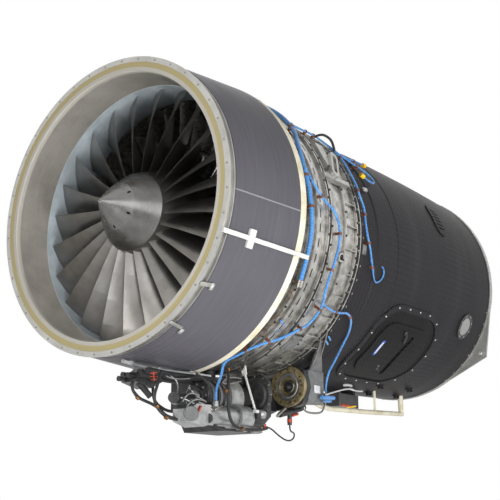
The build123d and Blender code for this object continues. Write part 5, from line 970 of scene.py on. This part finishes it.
class TURBOFAN_OT_stage(bpy.types.Operator):
    """Lay the floor and set the world, the lamps and the photograph's camera"""

    bl_idname = "turbofan.stage"
    bl_label = "Studio"

    def execute(self, context):
        scene = context.scene
        floor = begin("studio_floor", "plane", size=60, location=(0.8, 0, -2.9))
        bpy.ops.mesh.subdivide(number_cuts=2)
        end(floor)
        material, tree, shader, place = new_material("floor_paper")
        tone = mix(tree, noise(tree, place, 4.0), scene.turbofan_colours.backdrop, linear("#e2e2e0"))
        fill(tree, shader, {"Base Color": tone, "Roughness": 0.85})
        # Where the backdrop is seen, the floor is lifted towards white and still keeps the shadow
        glow = add_node(tree, "ShaderNodeEmission", {"Color": linear("#ffffff"), "Strength": 1.0})
        share = calc(tree, "MULTIPLY", backdrop_rays(tree), 0.6)
        pale = add_node(tree, "ShaderNodeMixShader", {0: share, 1: shader.outputs[0], 2: glow.outputs[0]})
        tree.links.new(pale.outputs[0], tree.nodes["Material Output"].inputs["Surface"])
        floor.data.materials.append(material)

        world = bpy.data.worlds.new("studio")
        scene.world = world
        world.use_nodes = True
        tree = world.node_tree
        tree.nodes.clear()
        light, white = (
            add_node(tree, "ShaderNodeBackground", {"Color": linear("#ffffff"), "Strength": strength})
            for strength in (0.16, 1.0))
        both = add_node(
            tree, "ShaderNodeMixShader", {0: backdrop_rays(tree), 1: light.outputs[0], 2: white.outputs[0]})
        add_node(tree, "ShaderNodeOutputWorld", {"Surface": both.outputs[0]})

        target = Vector((0.8, -0.2, -0.1))
        for name, spot, size, power in (
            ("key", (-3.4, -5.0, 0.6), 3.0, 55), ("low", (-1.0, -3.6, -2.3), 2.4, 215),
            ("side", (1.2, -5.2, -1.5), 2.4, 100), ("back", (1.2, 5.4, 1.0), 2.4, 150),
            ("front", (-5.0, -1.0, -1.2), 2.4, 120), ("top", (1.8, 0.6, 4.6), 2.6, 20),
        ):
            lamp = bpy.data.lights.new(name, "AREA")
            lamp.shape = "SQUARE"
            lamp.size = size
            lamp.energy = power
            holder = add_object(name, lamp, spot, target - Vector(spot))
            # The lamp below would show as a glare on the spinner
            holder.visible_glossy = name != "low"

        lens = bpy.data.cameras.new("photo_camera")
        lens.lens = 72
        lens.sensor_width = 36
        lens.clip_end = 100
        camera = add_object("photo_camera", lens, (-3.1515, -3.1825, -1.3443), (0.7755, 0.5816, 0.2456))
        scene.camera = camera
        scene.view_settings.view_transform = "Standard"
        return {"FINISHED"}


class TURBOFAN_PT_dressing(bpy.types.Panel):
    """Sizes, colours and steps of the turbofan's dressing"""

    bl_idname = "TURBOFAN_PT_dressing"
    bl_label = "Turbofan dressing"
    bl_space_type = "VIEW_3D"
    bl_region_type = "UI"
    bl_category = "Turbofan"

    def draw(self, context):
        for group, kind in ((context.scene.turbofan_sizes, TurbofanSizes),
                            (context.scene.turbofan_colours, TurbofanColours)):
            box = self.layout.box()
            for name in kind.__annotations__:
                box.prop(group, name)
        for operator in STEPS:
            self.layout.operator(operator.bl_idname)


# Hoses, pipes and clips round the gearbox: name, finish, slot, and (control points, diameter) in millimetres
GEARBOX_RUNS = (
    ("gearbox_hoses", "black_rubber", "black_rubber", (
        (((111, -250, -787), (49, -290, -844), (10, -300, -909), (35, -300, -954), (90, -310, -992),
          (154, -310, -993)), 14),
        (((598, -240, -722), (525, -300, -801), (507, -310, -869), (517, -310, -953), (552, -310, -997),
          (636, -300, -1008), (809, -280, -1002), (872, -268, -988)), 15),
        (((407, -200, -762), (433, -240, -786), (459, -250, -841), (440, -260, -892)), 12),
        (((-68, -240, -854), (-51, -240, -889), (-33, -250, -914), (14, -260, -925), (63, -280, -943),
          (84, -280, -963)), 9),
        (((484, -250, -994), (522, -250, -1010), (607, -250, -1010), (702, -250, -1007)), 12),
        (((110, -170, -772), (250, -160, -778), (430, -150, -772), (610, -140, -768)), 30),
        (((130, -100, -778), (300, -95, -786), (470, -90, -780), (640, -80, -772)), 40),
        (((180, -200, -790), (270, -190, -798), (360, -190, -792), (430, -180, -770)), 18),
        (((640, -170, -762), (720, -170, -770), (800, -160, -764)), 34),
        (((150, -60, -800), (170, -90, -840), (200, -110, -880)), 28),
    )),
    ("generator_wires", "silver_unit", "silver_unit", (
        (((190, -210, -794), (225, -210, -802), (274, -210, -800), (364, -200, -788)), 6),
        (((218, -210, -791), (256, -210, -801), (262, -220, -834), (245, -230, -863)), 6),
        (((229, -275, -908), (252, -275, -877), (294, -275, -863), (343, -275, -873)), 7),
        (((251, -280, -931), (274, -285, -900), (339, -285, -889), (380, -285, -898)), 7),
        (((232, -260, -889), (272, -275, -900), (309, -285, -918)), 8),
        (((320, -250, -850), (326, -270, -880), (381, -275, -891)), 6),
    )),
    ("gearbox_pipes", "pipe_steel", "pipe_steel", (
        (((542, -250, -798), (558, -250, -775), (612, -250, -759), (698, -240, -759)), 10),
        (((547, -250, -797), (605, -250, -797), (698, -240, -771)), 9),
        (((1229, -250, -857), (1229, -250, -878), (1296, -250, -884), (1375, -250, -879), (1415, -250, -862),
          (1435, -250, -820)), 11),
        (((1028, -220, -916), (1057, -220, -896), (1101, -220, -869)), 16),
        (((815, -220, -1007), (849, -220, -1009), (891, -220, -1001)), 16),
        (((421, -300, -936), (443, -300, -920), (493, -290, -908)), 10),
        (((317, -290, -904), (383, -295, -917), (403, -300, -934)), 10),
    )),
    ("duct_tie_rods", "rail_paint", "rail_paint", (
        (((1288, -350, -793), (1393, -350, -767), (1508, -350, -741), (1561, -350, -743)), 9),
        (((1523, -350, -740), (1561, -350, -752), (1659, -350, -744)), 9),
        (((1453, -360, -730), (1493, -360, -722), (1528, -360, -727)), 14),
    )),
    ("pad_fittings", "black_casting", "black_casting", (
        (((1064, -210, -906), (1128, -210, -891), (1193, -210, -879), (1289, -210, -851)), 30),
        (((1160, -200, -914), (1179, -200, -897), (1226, -200, -883)), 18),
        (((1216, -240, -851), (1231, -240, -863), (1248, -240, -849)), 20),
    )),
    ("red_markers", "red_tape", "clamp_band", (
        (((46, -245, -800), (91, -245, -791)), 4),
        (((47, -245, -813), (96, -245, -809)), 4),
        (((52, -245, -826), (89, -245, -823)), 4),
        (((65, -247, -790), (71, -247, -831)), 5),
        (((305, -305, -947), (322, -305, -922)), 9),
        (((1574, -262, -821), (1664, -262, -819)), 12),
        (((1168, -200, -920), (1168, -200, -938)), 27),
        (((1181, -210, -903), (1230, -210, -891)), 12),
    )),
    ("yellow_marker", "cap_yellow", "cap_yellow", (
        (((1642, -262, -829), (1730, -262, -816)), 9),
    )),
    ("blue_boots", "blue_braid", "blue_braid", (
        (((1268, -335, -809), (1387, -335, -802)), 21),
        (((1298, -330, -827), (1366, -330, -821)), 12),
    )),
    ("hose_clips", "lockwire", "clamp_band", (
        (((475, -318, -837), (490, -318, -843)), 18),
        (((617, -306, -1003), (636, -306, -1006)), 19),
        (((568, -260, -721), (579, -260, -731)), 18),
        (((22, -306, -940), (31, -306, -950)), 18),
        (((73, -312, -988), (87, -312, -992)), 18),
        (((-47, -255, -909), (-34, -255, -917)), 14),
    )),
)

STEPS = (
    TURBOFAN_OT_stage,
    TURBOFAN_OT_cords,
    TURBOFAN_OT_finishes,
    TURBOFAN_OT_flange_fasteners,
    TURBOFAN_OT_duct_rivets,
    TURBOFAN_OT_panel_fittings,
    TURBOFAN_OT_port_gauze,
    TURBOFAN_OT_case_trims,
    TURBOFAN_OT_starter_trims,
    TURBOFAN_OT_gearbox_dressing,
)
CLASSES = (TurbofanSizes, TurbofanColours) + STEPS + (TURBOFAN_PT_dressing,)
MATERIALS = {}


def register():
    for kind in CLASSES:
        bpy.utils.register_class(kind)
    bpy.types.Scene.turbofan_sizes = PointerProperty(type=TurbofanSizes)
    bpy.types.Scene.turbofan_colours = PointerProperty(type=TurbofanColours)


def unregister():
    del bpy.types.Scene.turbofan_colours
    del bpy.types.Scene.turbofan_sizes
    for kind in reversed(CLASSES):
        bpy.utils.unregister_class(kind)


def main():
    register()
    MATERIALS.update(make_materials())
    MATERIALS.update(trim_materials())
    for step in STEPS:
        group, name = step.bl_idname.split(".")
        getattr(getattr(bpy.ops, group), name)()


if __name__ == "__main__":
    main()
